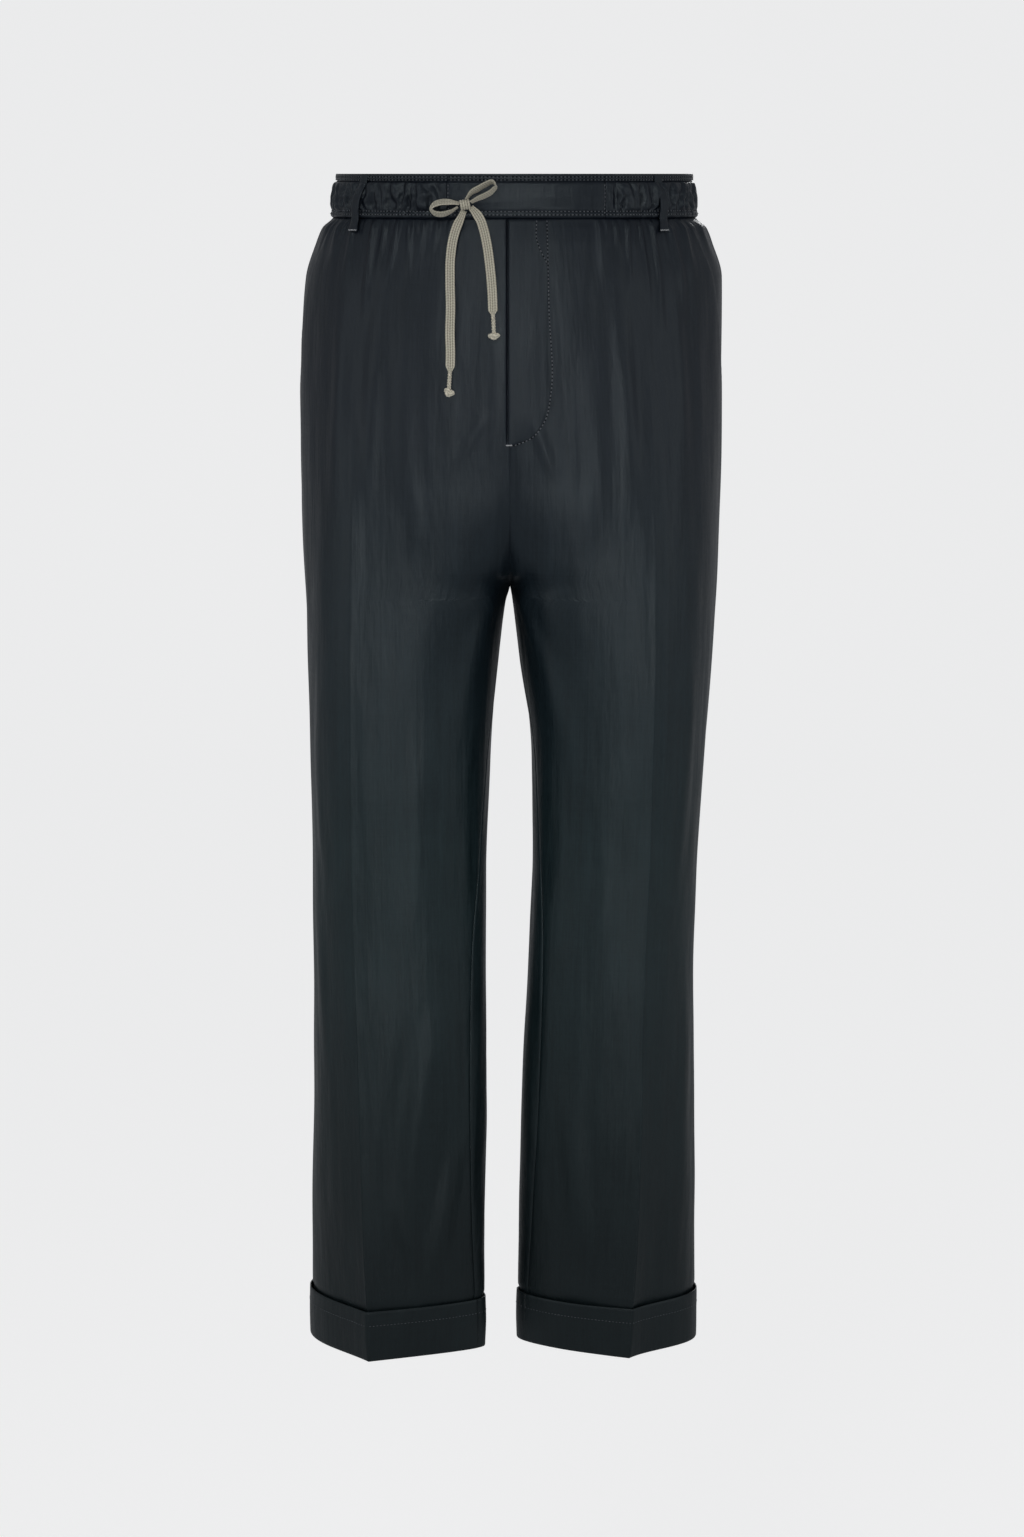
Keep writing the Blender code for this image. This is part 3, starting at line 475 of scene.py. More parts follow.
def makeThread(name, colour, roughness=0.5, specular=0.5):
    shader = Shader(name, colour, roughness, Specular_IOR_Level=specular)
    cut = shader.cut()
    twist = shader.noise(cut, 3000.0, 2.0)
    shader.feed("Roughness", (twist - 0.5) * 0.3 + roughness)
    return shader.material


# Colours of the cloth at the hips, the legs and the shins. The hips and the shins are painted darker than the
# legs, as shade where the studio light falls off; the hips' bluer cast is a colour of the cloth itself.
clothDeep = (0.0022, 0.0040, 0.0078), (0.0030, 0.0080, 0.0096), (0.0016, 0.0042, 0.0052)
clothLight = (0.0064, 0.0092, 0.0156), (0.0076, 0.0176, 0.0204), (0.0040, 0.0090, 0.0104)
materials = {
    "cloth": makeCloth("cloth", clothDeep, clothLight, 0.41),
    "waistband": makeCloth("waistband", clothDeep, clothLight, 0.34),
    "trim": makeCloth("trim", clothDeep, clothLight, 0.44),
    "braid": makeBraid("braid"),
    "thread": makeThread("thread", (0.110, 0.120, 0.135)),
    # near-black: painted shade of the needle holes between stitches
    "holeShades": makeThread("holeShades", (0.0006, 0.0007, 0.0008), 0.9, 0.05),
    "paleThread": makeThread("paleThread", (0.34, 0.35, 0.36)),
}
print("materials made")


def addMesh(name, verts, faces, cut, materialName, nodes):
    name = "sewn_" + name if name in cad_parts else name
    mesh = bpy.data.meshes.new(name)
    mesh.from_pydata(np.asarray(verts).tolist(), [], [tuple(face) for face in faces])
    mesh.materials.append(materials[materialName])
    attribute = mesh.attributes.new("cut", "FLOAT_VECTOR", "POINT")
    attribute.data.foreach_set("vector", np.asarray(cut, np.float32).ravel())
    mesh.shade_smooth()
    made = bpy.data.objects.new(name, mesh)
    bpy.context.scene.collection.objects.link(made)
    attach(made, "root")
    if nodes:
        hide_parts(*nodes)
    return made


def gridFaces(rows, columns, first=0, wrap=False, flip=False):
    i, j = np.meshgrid(np.arange(rows - 1), np.arange(columns if wrap else columns - 1), indexing="ij")
    k = (j + 1) % columns
    faces = np.stack((i * columns + j, (i + 1) * columns + j, (i + 1) * columns + k, i * columns + k), -1)
    faces = faces.reshape(-1, 4) + first
    return faces[:, ::-1] if flip else faces


def wallFaces(rows, columns, mirrored):  # an outer and an inner grid of points, closed at their rims
    count = rows * columns
    outer = gridFaces(rows, columns)
    inner = gridFaces(rows, columns, count, flip=True)
    rim = [(0, j) for j in range(columns)] + [(i, columns - 1) for i in range(1, rows)]
    rim += [(rows - 1, j) for j in range(columns - 2, -1, -1)] + [(i, 0) for i in range(rows - 2, 0, -1)]
    at = [i * columns + j for i, j in rim]
    edge = [(a, b, count + b, count + a) for a, b in zip(at, at[1:] + at[:1])]
    faces = np.vstack((outer, inner, np.array(edge)))
    return faces[:, ::-1] if mirrored else faces


def cutRow(across, drop):  # where a row of points lies on the flat cut
    return np.stack((across, np.full(len(across), drop), np.zeros(len(across))), -1)


def addWall(name, outer, inner, cut, columns, mirrored, kind):  # a sheet with an outer and an inner side
    outer, inner, cut = (np.asarray(rows).reshape(-1, 3) for rows in (outer, inner, cut))
    faces = wallFaces(len(outer) // columns, columns, mirrored)
    return addMesh(name, np.concatenate((outer, inner)), faces, np.vstack((cut, cut)), kind, [name])


# Drawstring
cordSizes = {"width": 0.0080, "thick": 0.0013, "ribs": 4}
knotPlace = (-38.2, 25.8, 4.9)
rightLoop = ((-43.1, 24.8, 5.2, 0.0, 0.6), (-51.4, 23.6, 7.0, 0.0, 0.8), (-59.8, 24.0, 8.2, 0.0, 0.8),
             (-64.6, 25.8, 9.0, -0.1, 0.7), (-67.4, 29.2, 9.4, -0.3, 0.0), (-64.8, 32.6, 9.0, -0.1, -0.6),
             (-58.8, 34.0, 8.2, 0.0, -0.7), (-51.4, 32.0, 7.2, 0.0, -0.6), (-44.4, 27.8, 6.0, 0.0, -0.3))
leftLoop = ((-36.9, 20.9, 5.2, 0.1, -0.6), (-32.6, 15.6, 6.6, 0.1, -0.8), (-27.0, 12.4, 7.2, 0.1, -0.8),
            (-20.6, 8.8, 7.8, 0.1, -0.7), (-14.6, 6.8, 8.2, 0.1, -0.6), (-12.2, 9.8, 8.2, 0.2, -0.6),
            (-15.2, 14.4, 7.8, 0.1, -0.7), (-21.4, 18.2, 7.0, 0.1, -0.7), (-27.4, 20.8, 6.4, 0.1, -0.7),
            (-33.2, 23.8, 5.2, 0.1, -0.6))
rightTail = ((-39.2, 30.9, 3.1), (-41.8, 36.8, 4.0), (-45.0, 43.6, 5.0), (-48.0, 53, 5.2), (-50.6, 70, 4.9),
             (-51.0, 90, 4.4), (-50.6, 112, 4.0), (-51.2, 134, 3.6), (-50.8, 152, 3.4), (-51.2, 166, 3.4))
leftTail = ((-33.3, 28.1, 3.4), (-29.0, 32.8, 4.1), (-25.4, 38.2, 4.8), (-22.6, 46.0, 5.2),
            (-19.8, 58, 5.2), (-17.0, 78, 4.4), (-15.1, 100, 4.2), (-14.5, 117.5, 3.8))
rightTip = ((-51.2, 166.4, 3.4), (-51.8, 174, 3.4), (-52.2, 181.0, 3.6))
leftTip = ((-14.5, 117.9, 3.8), (-14.0, 126, 3.8), (-13.7, 133.6, 4.0))


def smoothLine(knots, spacing):
    knots = np.array(knots, float)
    steps = np.linalg.norm(np.diff(knots[:, :3], axis=0), axis=1)
    lengths = np.concatenate(((0.0,), np.cumsum(steps)))
    slopes = np.gradient(knots, lengths, axis=0)
    count = max(int(round(lengths[-1] / spacing)), 3)
    points = []
    for length in np.linspace(0.0, lengths[-1], count + 1):
        i = int(np.clip(np.searchsorted(lengths, length) - 1, 0, len(lengths) - 2))
        span = lengths[i + 1] - lengths[i]
        t = (length - lengths[i]) / span
        points.append((1 + 2 * t) * (1 - t) ** 2 * knots[i] + t * (1 - t) ** 2 * span * slopes[i]
                      + t * t * (3 - 2 * t) * knots[i + 1] + t * t * (t - 1) * span * slopes[i + 1])
    return np.array(points)


def frontPoint(x, drop, out=0.0):  # a point on the front at a signed distance from the centre plane
    section = sectionAt("left" if x >= 0 else "right", drop)
    return section.place(section.lengthAtX(abs(x), "front"), out)[0]


def routePoints(route, spacing):
    knots = []
    for row in route:
        x, drop, lift = (value * mm for value in row[:3])
        surface = frontPoint(x, drop)
        wide = (row[3], 1.0, row[4]) if len(row) > 3 else (1.0, 0.0, 0.0)
        knots.append((x, surface[1] - lift, surface[2]) + wide)
    line = smoothLine(knots, spacing)
    return line[:, :3], line[:, 3:]


def unit(ways):
    return ways / np.linalg.norm(ways, axis=1, keepdims=True)


def lengthsAlong(points):
    return np.concatenate(((0.0,), np.cumsum(np.linalg.norm(np.diff(points, axis=0), axis=1))))


def braidRibbon(name, points, wide, widths, thick, nodes):  # a flat braid with ribs along a line of points
    ribs = cordSizes["ribs"]
    across = np.sin(np.linspace(-np.pi / 2, np.pi / 2, 25)) * 0.5
    ridges = 0.72 + 0.28 * np.cos(2 * np.pi * ribs * across + np.pi)
    body = np.sqrt(np.maximum(1 - np.abs(2 * across) ** 4, 0.0)) * ridges
    shape = np.vstack((np.stack((across[::-1], body[::-1]), -1), np.stack((across[1:-1], -body[1:-1]), -1)))
    tangents = unit(np.gradient(points, axis=0))
    wide = unit(wide - (wide * tangents).sum(1, keepdims=True) * tangents)
    deep = np.cross(tangents, wide)
    along = lengthsAlong(points)
    u = shape[:, 0][None, :, None]
    v = shape[:, 1][None, :, None]
    verts = (points[:, None] + wide[:, None] * u * np.asarray(widths)[:, None, None]
             + deep[:, None] * v * thick / 2)
    rows, columns = verts.shape[:2]
    cut = np.zeros((rows, columns, 3))
    cut[..., 0] = shape[:, 0] * cordSizes["width"]
    cut[..., 1] = along[:, None]
    cut[..., 2] = np.abs(2 * shape[:, 0]) ** 8
    faces = [tuple(face) for face in gridFaces(rows, columns, wrap=True, flip=True)]
    faces += [tuple(range(columns)), tuple(range(rows * columns - 1, (rows - 1) * columns - 1, -1))]
    return addMesh(name, verts.reshape(-1, 3), faces, cut.reshape(-1, 3), "braid", nodes)


def tubeParts(points, radius, sides, closed=False):
    points = np.asarray(points)
    if closed:
        tangents = np.roll(points, -1, 0) - np.roll(points, 1, 0)
    else:
        tangents = np.gradient(points, axis=0)
    tangents = unit(tangents)
    normal = np.cross(tangents[0], (0.3, 0.9, 0.2))
    normals = []
    for tangent in tangents:
        normal = normal - np.dot(normal, tangent) * tangent
        normal = normal / np.linalg.norm(normal)
        normals.append(normal)
    normals = np.array(normals)
    binormals = np.cross(tangents, normals)
    spin = np.linspace(0, 2 * np.pi, sides, endpoint=False)
    radius = np.broadcast_to(radius, (len(points),))[:, None, None]
    ring = (normals[:, None] * np.cos(spin)[None, :, None]
            + binormals[:, None] * np.sin(spin)[None, :, None])
    verts = points[:, None] + ring * radius
    along = lengthsAlong(points)
    cut = np.zeros(verts.shape)
    cut[..., 0] = spin / np.pi * 0.004
    cut[..., 1] = along[:, None]
    cut[..., 2] = 0.9
    rows = len(points)
    faces = [tuple(face) for face in gridFaces(rows, sides, wrap=True)]
    if closed:
        last = (rows - 1) * sides
        faces += [(last + j, j, (j + 1) % sides, last + (j + 1) % sides) for j in range(sides)]
    else:
        faces += [tuple(range(sides - 1, -1, -1)), tuple(range((rows - 1) * sides, rows * sides))]
    return verts.reshape(-1, 3), faces, cut.reshape(-1, 3)


def joinParts(parts):
    verts, faces, cuts = [], [], []
    total = 0
    for part in parts:
        verts.append(part[0])
        faces += [tuple(int(k) + total for k in face) for face in part[1]]
        cuts.append(part[2])
        total += len(part[0])
    return np.vstack(verts), faces, np.vstack(cuts)


def twistedTip(name, points, nodes):  # the thinned end of the braid: two strands twisted together
    spots, knots = np.linspace(0, 1, 70), np.linspace(0, 1, len(points))
    fine = np.stack([np.interp(spots, knots, points[:, k]) for k in range(3)], -1)
    turns = np.linspace(0, 2 * np.pi * 3.2, len(fine))
    parts = []
    for start in (0.0, np.pi):
        offset = np.stack((np.cos(turns + start), np.sin(turns + start), np.zeros(len(fine))), -1) * 0.00085
        bulge = 0.00092 + 0.00012 * np.sin(turns * 4)
        parts.append(tubeParts(fine + offset, bulge, 10))
    verts, faces, cut = joinParts(parts)
    return addMesh(name, verts, faces, cut, "braid", nodes)


def endKnot(name, middle, size, tilt, nodes):  # a small tight overhand knot
    t = np.linspace(0, 2 * np.pi, 96, endpoint=False)
    line = np.stack((np.sin(t) + 2 * np.sin(2 * t), -np.sin(3 * t) * 1.25, np.cos(t) - 2 * np.cos(2 * t)), -1)
    line = line / 3
    radius = 0.00155
    line = line * (np.array(size) / 2 - radius)
    turn = math.radians(tilt)
    line = np.stack((line[:, 0] * math.cos(turn) + line[:, 2] * math.sin(turn), line[:, 1],
                     -line[:, 0] * math.sin(turn) + line[:, 2] * math.cos(turn)), -1)
    swell = radius * (1 + 0.10 * np.sin(17 * t) + 0.06 * np.sin(29 * t + 1))
    verts, faces, cut = tubeParts(line + middle, swell, 12, closed=True)
    return addMesh(name, verts, faces, cut, "braid", nodes)


def addDrawstring():
    width = cordSizes["width"]
    for side, route in (("right", rightLoop), ("left", leftLoop)):
        points, wide = routePoints(route, 0.0009)
        t = np.linspace(0, 1, len(points))
        widths = width * (0.62 + 0.38 * ramp(np.minimum(t, 1 - t), 0.0, 0.22))
        loop = braidRibbon("loop_" + side, points, wide, widths, cordSizes["thick"],
                           ["drawstring_loop_" + side])
    tips = {"right": (rightTail, rightTip, (0.0102, 0.0066, 0.0076), 24.0),
            "left": (leftTail, leftTip, (0.0110, 0.0064, 0.0062), -4.0)}
    for side, (tail, tip, size, tilt) in tips.items():
        points, wide = routePoints(tail, 0.0012)
        t = np.linspace(0, 1, len(points))
        widths = width * (0.66 + 0.34 * ramp(t, 0.0, 0.10)) * (1 - 0.52 * ramp(t, 0.955, 1.0) ** 2)
        tipPoints, _ = routePoints(tip, 0.002)
        end = tipPoints[-1] - np.array((0.0, 0.0, size[2] / 2 - 0.0006))
        thin = twistedTip("tip_" + side, tipPoints, ["drawstring_tip_" + side])
        knot = endKnot("end_knot_" + side, end, size, tilt, ["drawstring_end_knot_" + side])
        ribbon = braidRibbon("tail_" + side, points, wide, widths, cordSizes["thick"] * 1.1,
                             ["drawstring_tail_" + side])
    surface = frontPoint(knotPlace[0] * mm, knotPlace[1] * mm)
    middle = np.array((knotPlace[0] * mm, surface[1] - knotPlace[2] * mm, surface[2]))
    spin = np.linspace(0, 2 * np.pi, 61) + np.pi / 2
    turned = spin - np.pi
    ring = middle + np.stack((0.0007 * np.sin(spin), np.cos(turned) * -0.0031, np.sin(turned) * 0.0036), -1)
    wide = np.tile((1.0, 0.0, 0.12), (len(ring), 1))
    braidRibbon("knot", ring, wide, np.full(len(ring), width * 1.06), 0.0017, ["drawstring_knot"])


addDrawstring()
print("drawstring made")


# Cloth forms: gathers under the waist seam, soft folds down the legs, and the gathered band
Gather = namedtuple("Gather", ("across", "depth", "width", "reach", "lean"))
rightGathers = tuple(Gather(*row) for row in (
    (0.39, 1.2, 0.040, 22, 0.02),
    (0.478, 1.9, 0.040, 30, 0.03),
    (0.565, 2.2, 0.038, 36, 0.03),
    (0.620, 1.6, 0.026, 24, -0.02),
    (0.678, 2.9, 0.036, 56, -0.03),
    (0.755, 3.0, 0.040, 62, 0.045),
    (0.800, 1.4, 0.024, 26, 0.0),
    (0.848, 2.8, 0.038, 50, 0.03),
    (0.940, 3.4, 0.046, 96, 0.01),
    (1.205, 2.4, 0.080, 60, -0.05),
    (1.330, 1.6, 0.060, 34, 0.04),
    (1.452, 2.6, 0.090, 44, -0.06),
    (1.580, 1.6, 0.060, 30, 0.03),
    (1.700, 2.2, 0.090, 36, 0.05),
))
leftGathers = tuple(Gather(*row) for row in (
    (0.678, 2.2, 0.050, 56, 0.02),
    (0.745, 1.4, 0.030, 26, -0.02),
    (0.810, 1.9, 0.045, 38, 0.03),
    (0.915, 2.6, 0.042, 64, -0.02),
    (0.965, 1.4, 0.026, 30, 0.0),
    (1.030, 2.4, 0.040, 76, 0.03),
    (1.160, 3.2, 0.050, 104, -0.02),
    (1.250, 1.6, 0.040, 36, 0.03),
    (1.346, 2.7, 0.070, 92, 0.02),
    (1.514, 2.5, 0.065, 56, -0.04),
    (1.640, 1.6, 0.060, 32, 0.03),
    (1.776, 2.2, 0.090, 40, 0.04),
))
rearGathers = tuple(Gather(*row) for row in (
    (2.14, 2.1, 0.065, 46, 0.02),
    (2.22, 1.4, 0.040, 28, 0.0),
    (2.30, 2.7, 0.060, 74, -0.02),
    (2.39, 1.5, 0.040, 30, 0.02),
    (2.47, 2.4, 0.065, 54, 0.03),
    (2.64, 2.9, 0.060, 88, -0.02),
    (2.73, 1.5, 0.040, 34, 0.0),
    (2.81, 2.4, 0.065, 62, 0.02),
    (3.02, 2.9, 0.070, 98, 0.03),
    (3.14, 1.5, 0.050, 34, -0.03),
    (3.26, 2.4, 0.085, 60, -0.02),
    (3.38, 1.4, 0.050, 30, 0.02),
    (3.50, 2.6, 0.085, 78, 0.02),
    (3.64, 1.5, 0.050, 32, -0.02),
    (3.76, 2.2, 0.080, 52, 0.0),
))
Fold = namedtuple("Fold", ("start", "foot", "top", "bottom", "depth", "width", "bow"))
rightFolds = tuple(Fold(*row) for row in (
    (1.17, 1.12, 60, 330, 2.0, 15, 0.0),
    (0.84, 0.88, 75, 300, 1.6, 14, 0.0),
    (0.36, 0.62, 730, 940, 3.0, 17, 0.0),
    (0.10, 0.42, 850, 1010, 2.4, 15, 0.0),
    (0.72, 0.50, 905, 1010, 1.4, 12, 0.0),
    (0.66, 0.60, 120, 330, 1.2, 16, 0.02),
    (0.12, 0.34, 196, 250, 1.3, 9, 0.0),
    (0.30, 0.36, 300, 520, 1.5, 22, 0.05),
    (0.58, 0.52, 430, 700, 1.4, 20, 0.0),
    (1.30, 1.26, 420, 640, 1.6, 14, 0.10),
    (1.52, 1.40, 520, 820, 1.3, 14, 0.0),
    (3.30, 3.62, 640, 860, 3.0, 20, 0.0),
    (2.40, 2.60, 300, 620, 1.8, 18, 0.0),
    (3.40, 3.10, 380, 600, 2.4, 18, 0.0),
    (2.70, 2.45, 640, 900, 2.0, 16, 0.0),
    (3.55, 3.80, 880, 1010, 1.8, 14, 0.0),
))
leftFolds = tuple(Fold(*row) for row in (
    (0.80, 0.84, 65, 310, 1.8, 14, 0.0),
    (1.30, 1.24, 70, 300, 1.8, 14, 0.0),
    (0.30, 0.52, 800, 985, 2.2, 17, 0.0),
    (0.14, 0.30, 196, 262, 1.2, 9, 0.0),
    (0.55, 0.60, 110, 330, 1.2, 16, 0.0),
    (0.26, 0.42, 310, 540, 1.6, 20, 0.05),
    (0.62, 0.58, 480, 760, 1.3, 20, 0.0),
    (1.35, 1.30, 380, 640, 1.5, 14, 0.0),
    (1.50, 1.55, 660, 930, 1.4, 14, 0.0),
    (3.20, 3.56, 700, 930, 2.8, 20, 0.0),
    (2.35, 2.55, 320, 640, 1.8, 18, 0.0),
    (3.45, 3.15, 370, 610, 2.2, 18, 0.0),
    (2.75, 2.40, 660, 880, 1.9, 16, 0.0),
))
gathersOf = {"right": rightGathers + rearGathers, "left": leftGathers + rearGathers}
foldsOf = {"right": rightFolds, "left": leftFolds}
bandSizes = {"tabRight": 0.054, "tabLeft": 0.083, "pitch": 0.0088, "puffRamp": 0.012, "wall": 0.0022,
             "middle": 0.023, "half": 0.015, "sideCalm": 0.034}
bandForm = Table(("drop", "flat", "puffed", "pucker"), (
    (0.0, 0.0, 0.0, 0.0),
    (1.5, 0.35, 0.35, 0.0),
    (2.7, -0.15, -0.15, 0.05),
    (3.9, 0.30, 0.25, 0.1),
    (5.0, 0.0, -0.2, 0.1),
    (5.9, -1.0, -1.4, 0.1),
    (8.0, 0.7, 1.2, 1.3),
    (13.0, 1.1, 2.1, 2.2),
    (19.0, 1.5, 2.4, 2.7),
    (23.0, 1.3, 2.4, 2.7),
    (28.0, 0.75, 2.1, 2.4),
    (30.3, 0.5, 1.7, 1.4),
    (31.6, 0.1, 1.2, 0.7),
    (33.6, 0.9, 1.9, 0.8),
    (36.0, 0.6, 1.7, 0.5),
    (37.7, -0.9, 0.2, 0.2),
))


def finePuckers(side):  # short puckers between the main gathers, uneven in pitch, height and reach
    section = sectionAt(side, heights["panelTop"])
    start = bandSizes["tabRight"] if side == "right" else bandSizes["tabLeft"]
    random = np.random.RandomState(11 if side == "right" else 23)
    puckers = []
    length = start + 0.002
    while length < section.marks[4] - 0.004:
        across = float(np.interp(length, section.marks, np.arange(5)))
        depth, width = 0.7 + 1.0 * random.rand(), 0.0022 + 0.0012 * random.rand()
        reach = 9 + 20 * random.rand()
        puckers.append((across, depth, width, reach))
        length += 0.0046 + 0.0030 * random.rand()
    return puckers


puckersOf = {side: finePuckers(side) for side in sides}
softForms = ((0.85, 0.026, 0.150, 3), (0.42, 0.012, 0.060, 7), (0.14, 0.0060, 0.070, 13))  # mm, m, m, seed
panelSizes = {"wall": 0.0009, "tucked": 0.0011, "tuckTop": 0.0372, "tuckFoot": 0.0395, "lap": 0.0004,
              "flyFoot": 0.228, "flyDip": 2.6, "flyDipAt": 0.0022, "flyDipWidth": 0.0007,
              "cuffDip": 1.7, "cuffDipWidth": 0.006, "pressed": 0.55, "pressedWidth": 0.0022,
              "roll": 0.7, "rollWidth": 0.0011}


def panelOut(side, across, section):
    drop = section.drop
    lengths = section.lengthAt(across)
    out = np.zeros_like(lengths)
    below = (drop - heights["panelTop"]) / mm
    rise = 0.35 + 0.65 * ramp(below, 0.0, 6.0)
    for gather in gathersOf[side]:
        fade = max(1.0 - below / gather.reach, 0.0)
        if fade > 0:
            middle = gather.across + gather.lean * below / gather.reach
            wave = hump((across - middle) / (gather.width * (0.62 + 0.40 * below / gather.reach)))
            out += 1.2 * gather.depth * mm * wave * fade * rise
    for place, depth, width, reach in puckersOf[side]:
        fade = max(1.0 - below / reach, 0.0) ** 1.3
        if fade > 0:
            out += depth * mm * hump((lengths - section.lengthAt(place)) / width) * fade * rise
    for fold in foldsOf[side]:
        along = (drop / mm - fold.top) / (fold.bottom - fold.top)
        if 0.0 < along < 1.0:
            middle = fold.start + (fold.foot - fold.start) * along + fold.bow * math.sin(math.pi * along)
            away = (lengths - section.lengthAt(middle)) / (fold.width * mm)
            wave = hump(away) - 0.45 * hump(away - 1.1)
            out += fold.depth * mm * wave * math.sin(math.pi * along) ** 1.3
    u = lengths - section.marks[1]
    edge = np.minimum(lengths - section.marks[0], section.marks[4] - lengths)
    calm = (0.4 + 0.6 * ramp(drop, 0.05, 0.15)) * ramp(edge, 0.0, 0.012)
    for height, cellU, cellV, seed in softForms:
        out += height * mm * calm * softNoise(u, drop, cellU, cellV, seed if side == "right" else seed + 2)
    if side == "right" and drop < panelSizes["flyFoot"]:  # the panel dips beside the fly's open edge
        away = (lengths - panelSizes["flyDipAt"]) / panelSizes["flyDipWidth"]
        out -= panelSizes["flyDip"] * mm * np.exp(-away ** 2)
    below = (drop - heights["cuffTop"] - 0.0005) / panelSizes["cuffDipWidth"]
    out -= panelSizes["cuffDip"] * mm * hump(below)  # pressed in behind the turn-up's edge
    for crease in (1.0, 3.0):  # the pressed edge stands up a little
        edge = np.exp(-np.abs(lengths - section.lengthAt(crease)) / panelSizes["pressedWidth"])
        out += panelSizes["pressed"] * mm * edge * ramp(drop, 0.20, 0.50)
    return out


def seamRoll(section, across, first, last):  # both edges of a panel roll in at the seam
    lengths = section.lengthAt(across)
    aboveFork = section.drop < heights["crotch"] + 0.004
    fork = ramp(section.drop, heights["crotch"] - 0.130, heights["crotch"] - 0.090) if aboveFork else 0.0
    roll = 0.0
    for edge in (first, last):
        depth = panelSizes["roll"] * (1 - fork if edge in (0, 4) else 1.0)
        roll = roll + depth * np.exp(-np.abs(lengths - section.lengthAt(edge)) / panelSizes["rollWidth"])
    return -mm * roll


pocket = {"top": 0.044, "foot": 0.205, "start": 1.62, "reach": 0.36, "depth": 1.1}


def pocketStep(section, across):  # the slanted pocket's folded edge near the outseam
    drop = section.drop
    if not pocket["top"] < drop < pocket["foot"]:
        return 0.0
    t = (drop - pocket["top"]) / (pocket["foot"] - pocket["top"])
    middle = section.lengthAt(pocket["start"] + pocket["reach"] * t)
    lengths = section.lengthAt(across)
    step = ramp(lengths, middle, middle + 0.0012) * ramp(section.lengthAt(2.0) - lengths, 0.0, 0.003)
    return -pocket["depth"] * mm * step * (1 - ramp(t, 0.93, 1.0)) * ramp(t, 0.0, 0.05)


def panelRows():
    top = np.arange(0.0372, 0.080, 0.0018)
    upper = np.arange(top[-1] + 0.003, 0.20, 0.0034)
    lower = np.linspace(upper[-1] + 0.0045, heights["hem"] - 0.0016, 190)
    above = np.array((24, 20, 16, 12.5, 9.5, 7, 5, 3.5, 2.2, 1.2, 0.5)) * mm
    fork = heights["crotch"] - above
    return np.concatenate((top, upper, lower, fork, (heights["crotch"] - 1e-5, heights["crotch"])))


def panelColumns(first, last):
    middle = first + 1.0
    spread = np.concatenate((np.linspace(first, middle, 80), np.linspace(middle, last, 70)))
    close = [middle - 0.010, middle + 0.010, first + 0.006, last - 0.006]
    return np.unique(np.round(np.concatenate((spread, close)), 6))


def evenedDown(points, drops, edge):  # the rows about the crotch's level evened out, away from the seams
    fine = np.arange(0.280, 0.450, 0.001)
    kernel = np.exp(-0.5 * (np.arange(-20, 21) / 7.0) ** 2)
    kernel /= kernel.sum()
    share = ramp(drops, 0.310, 0.330) * (1 - ramp(drops, 0.385, 0.410))
    for k in (0, 1):
        for j in range(points.shape[1]):
            line = np.interp(fine, drops, points[:, j, k])
            even = np.interp(drops, fine[20:-20], np.convolve(line, kernel, "valid"))
            weight = share * ramp(edge[j], 0.010, 0.034)
            points[:, j, k] += (even - points[:, j, k]) * weight
    return points


def addPanel(name, side, first, last):
    columns = panelColumns(first, last)
    if name == "front_right":  # closer columns where the cloth dips at the fly's edge
        columns = np.unique(np.concatenate((columns, np.arange(0.0095, 0.0260, 0.0025))))
    drops = np.unique(np.round(panelRows(), 6))
    outer, inner, cut = [], [], []
    base = 1.0 if first == 0 else 3.0
    for drop in drops:
        section = sectionAt(side, drop)
        lengths = section.lengthAt(columns)
        out = panelOut(side, columns, section) + seamRoll(section, columns, first, last)
        if first == 0:
            out = out + pocketStep(section, columns)
        tuck = 1 - ramp(drop, panelSizes["tuckTop"], panelSizes["tuckFoot"])
        out = out * (1 - tuck) - panelSizes["tucked"] * tuck
        outer.append(section.place(lengths, out))
        inner.append(section.place(lengths, out - panelSizes["wall"]))
        cut.append(cutRow(lengths - section.lengthAt(base), drop))
    fork = sectionAt(side, heights["crotch"] + 0.02).lengthAt(columns)
    edge = fork - fork[0] if first == 0 else fork[-1] - fork
    outer = evenedDown(np.array(outer), drops, edge)
    inner = evenedDown(np.array(inner), drops, edge)
    above = drops < heights["crotch"]
    atCentre = 0 if first == 0 else -1
    outer[above, atCentre, 0] = 0.0  # the halves meet on the centre plane, and their turnings lap inside
    inner[above, atCentre, 0] = -sides[side][0] * panelSizes["lap"]
    made = addWall(name, outer, inner, cut, len(columns), side == "right", "cloth")


bandRandom = np.random.RandomState(41)
bandWaves = [(0.6 + 0.7 * bandRandom.rand(), 0.78 + 0.5 * bandRandom.rand(), bandRandom.rand() - 0.5,
              bandRandom.rand() - 0.5) for _ in range(120)]


def bandPuckers(side, start, finish):  # middles of the puckers round the gathered band
    middles = []
    length = start + 0.004
    i = 0 if side == "right" else 50
    while length < finish + 0.01:
        height, pitch, lean, bend = bandWaves[i % len(bandWaves)]
        middles.append((length, height, bandSizes["pitch"] * pitch, lean, bend))
        length += bandSizes["pitch"] * pitch
        i += 1
    return middles


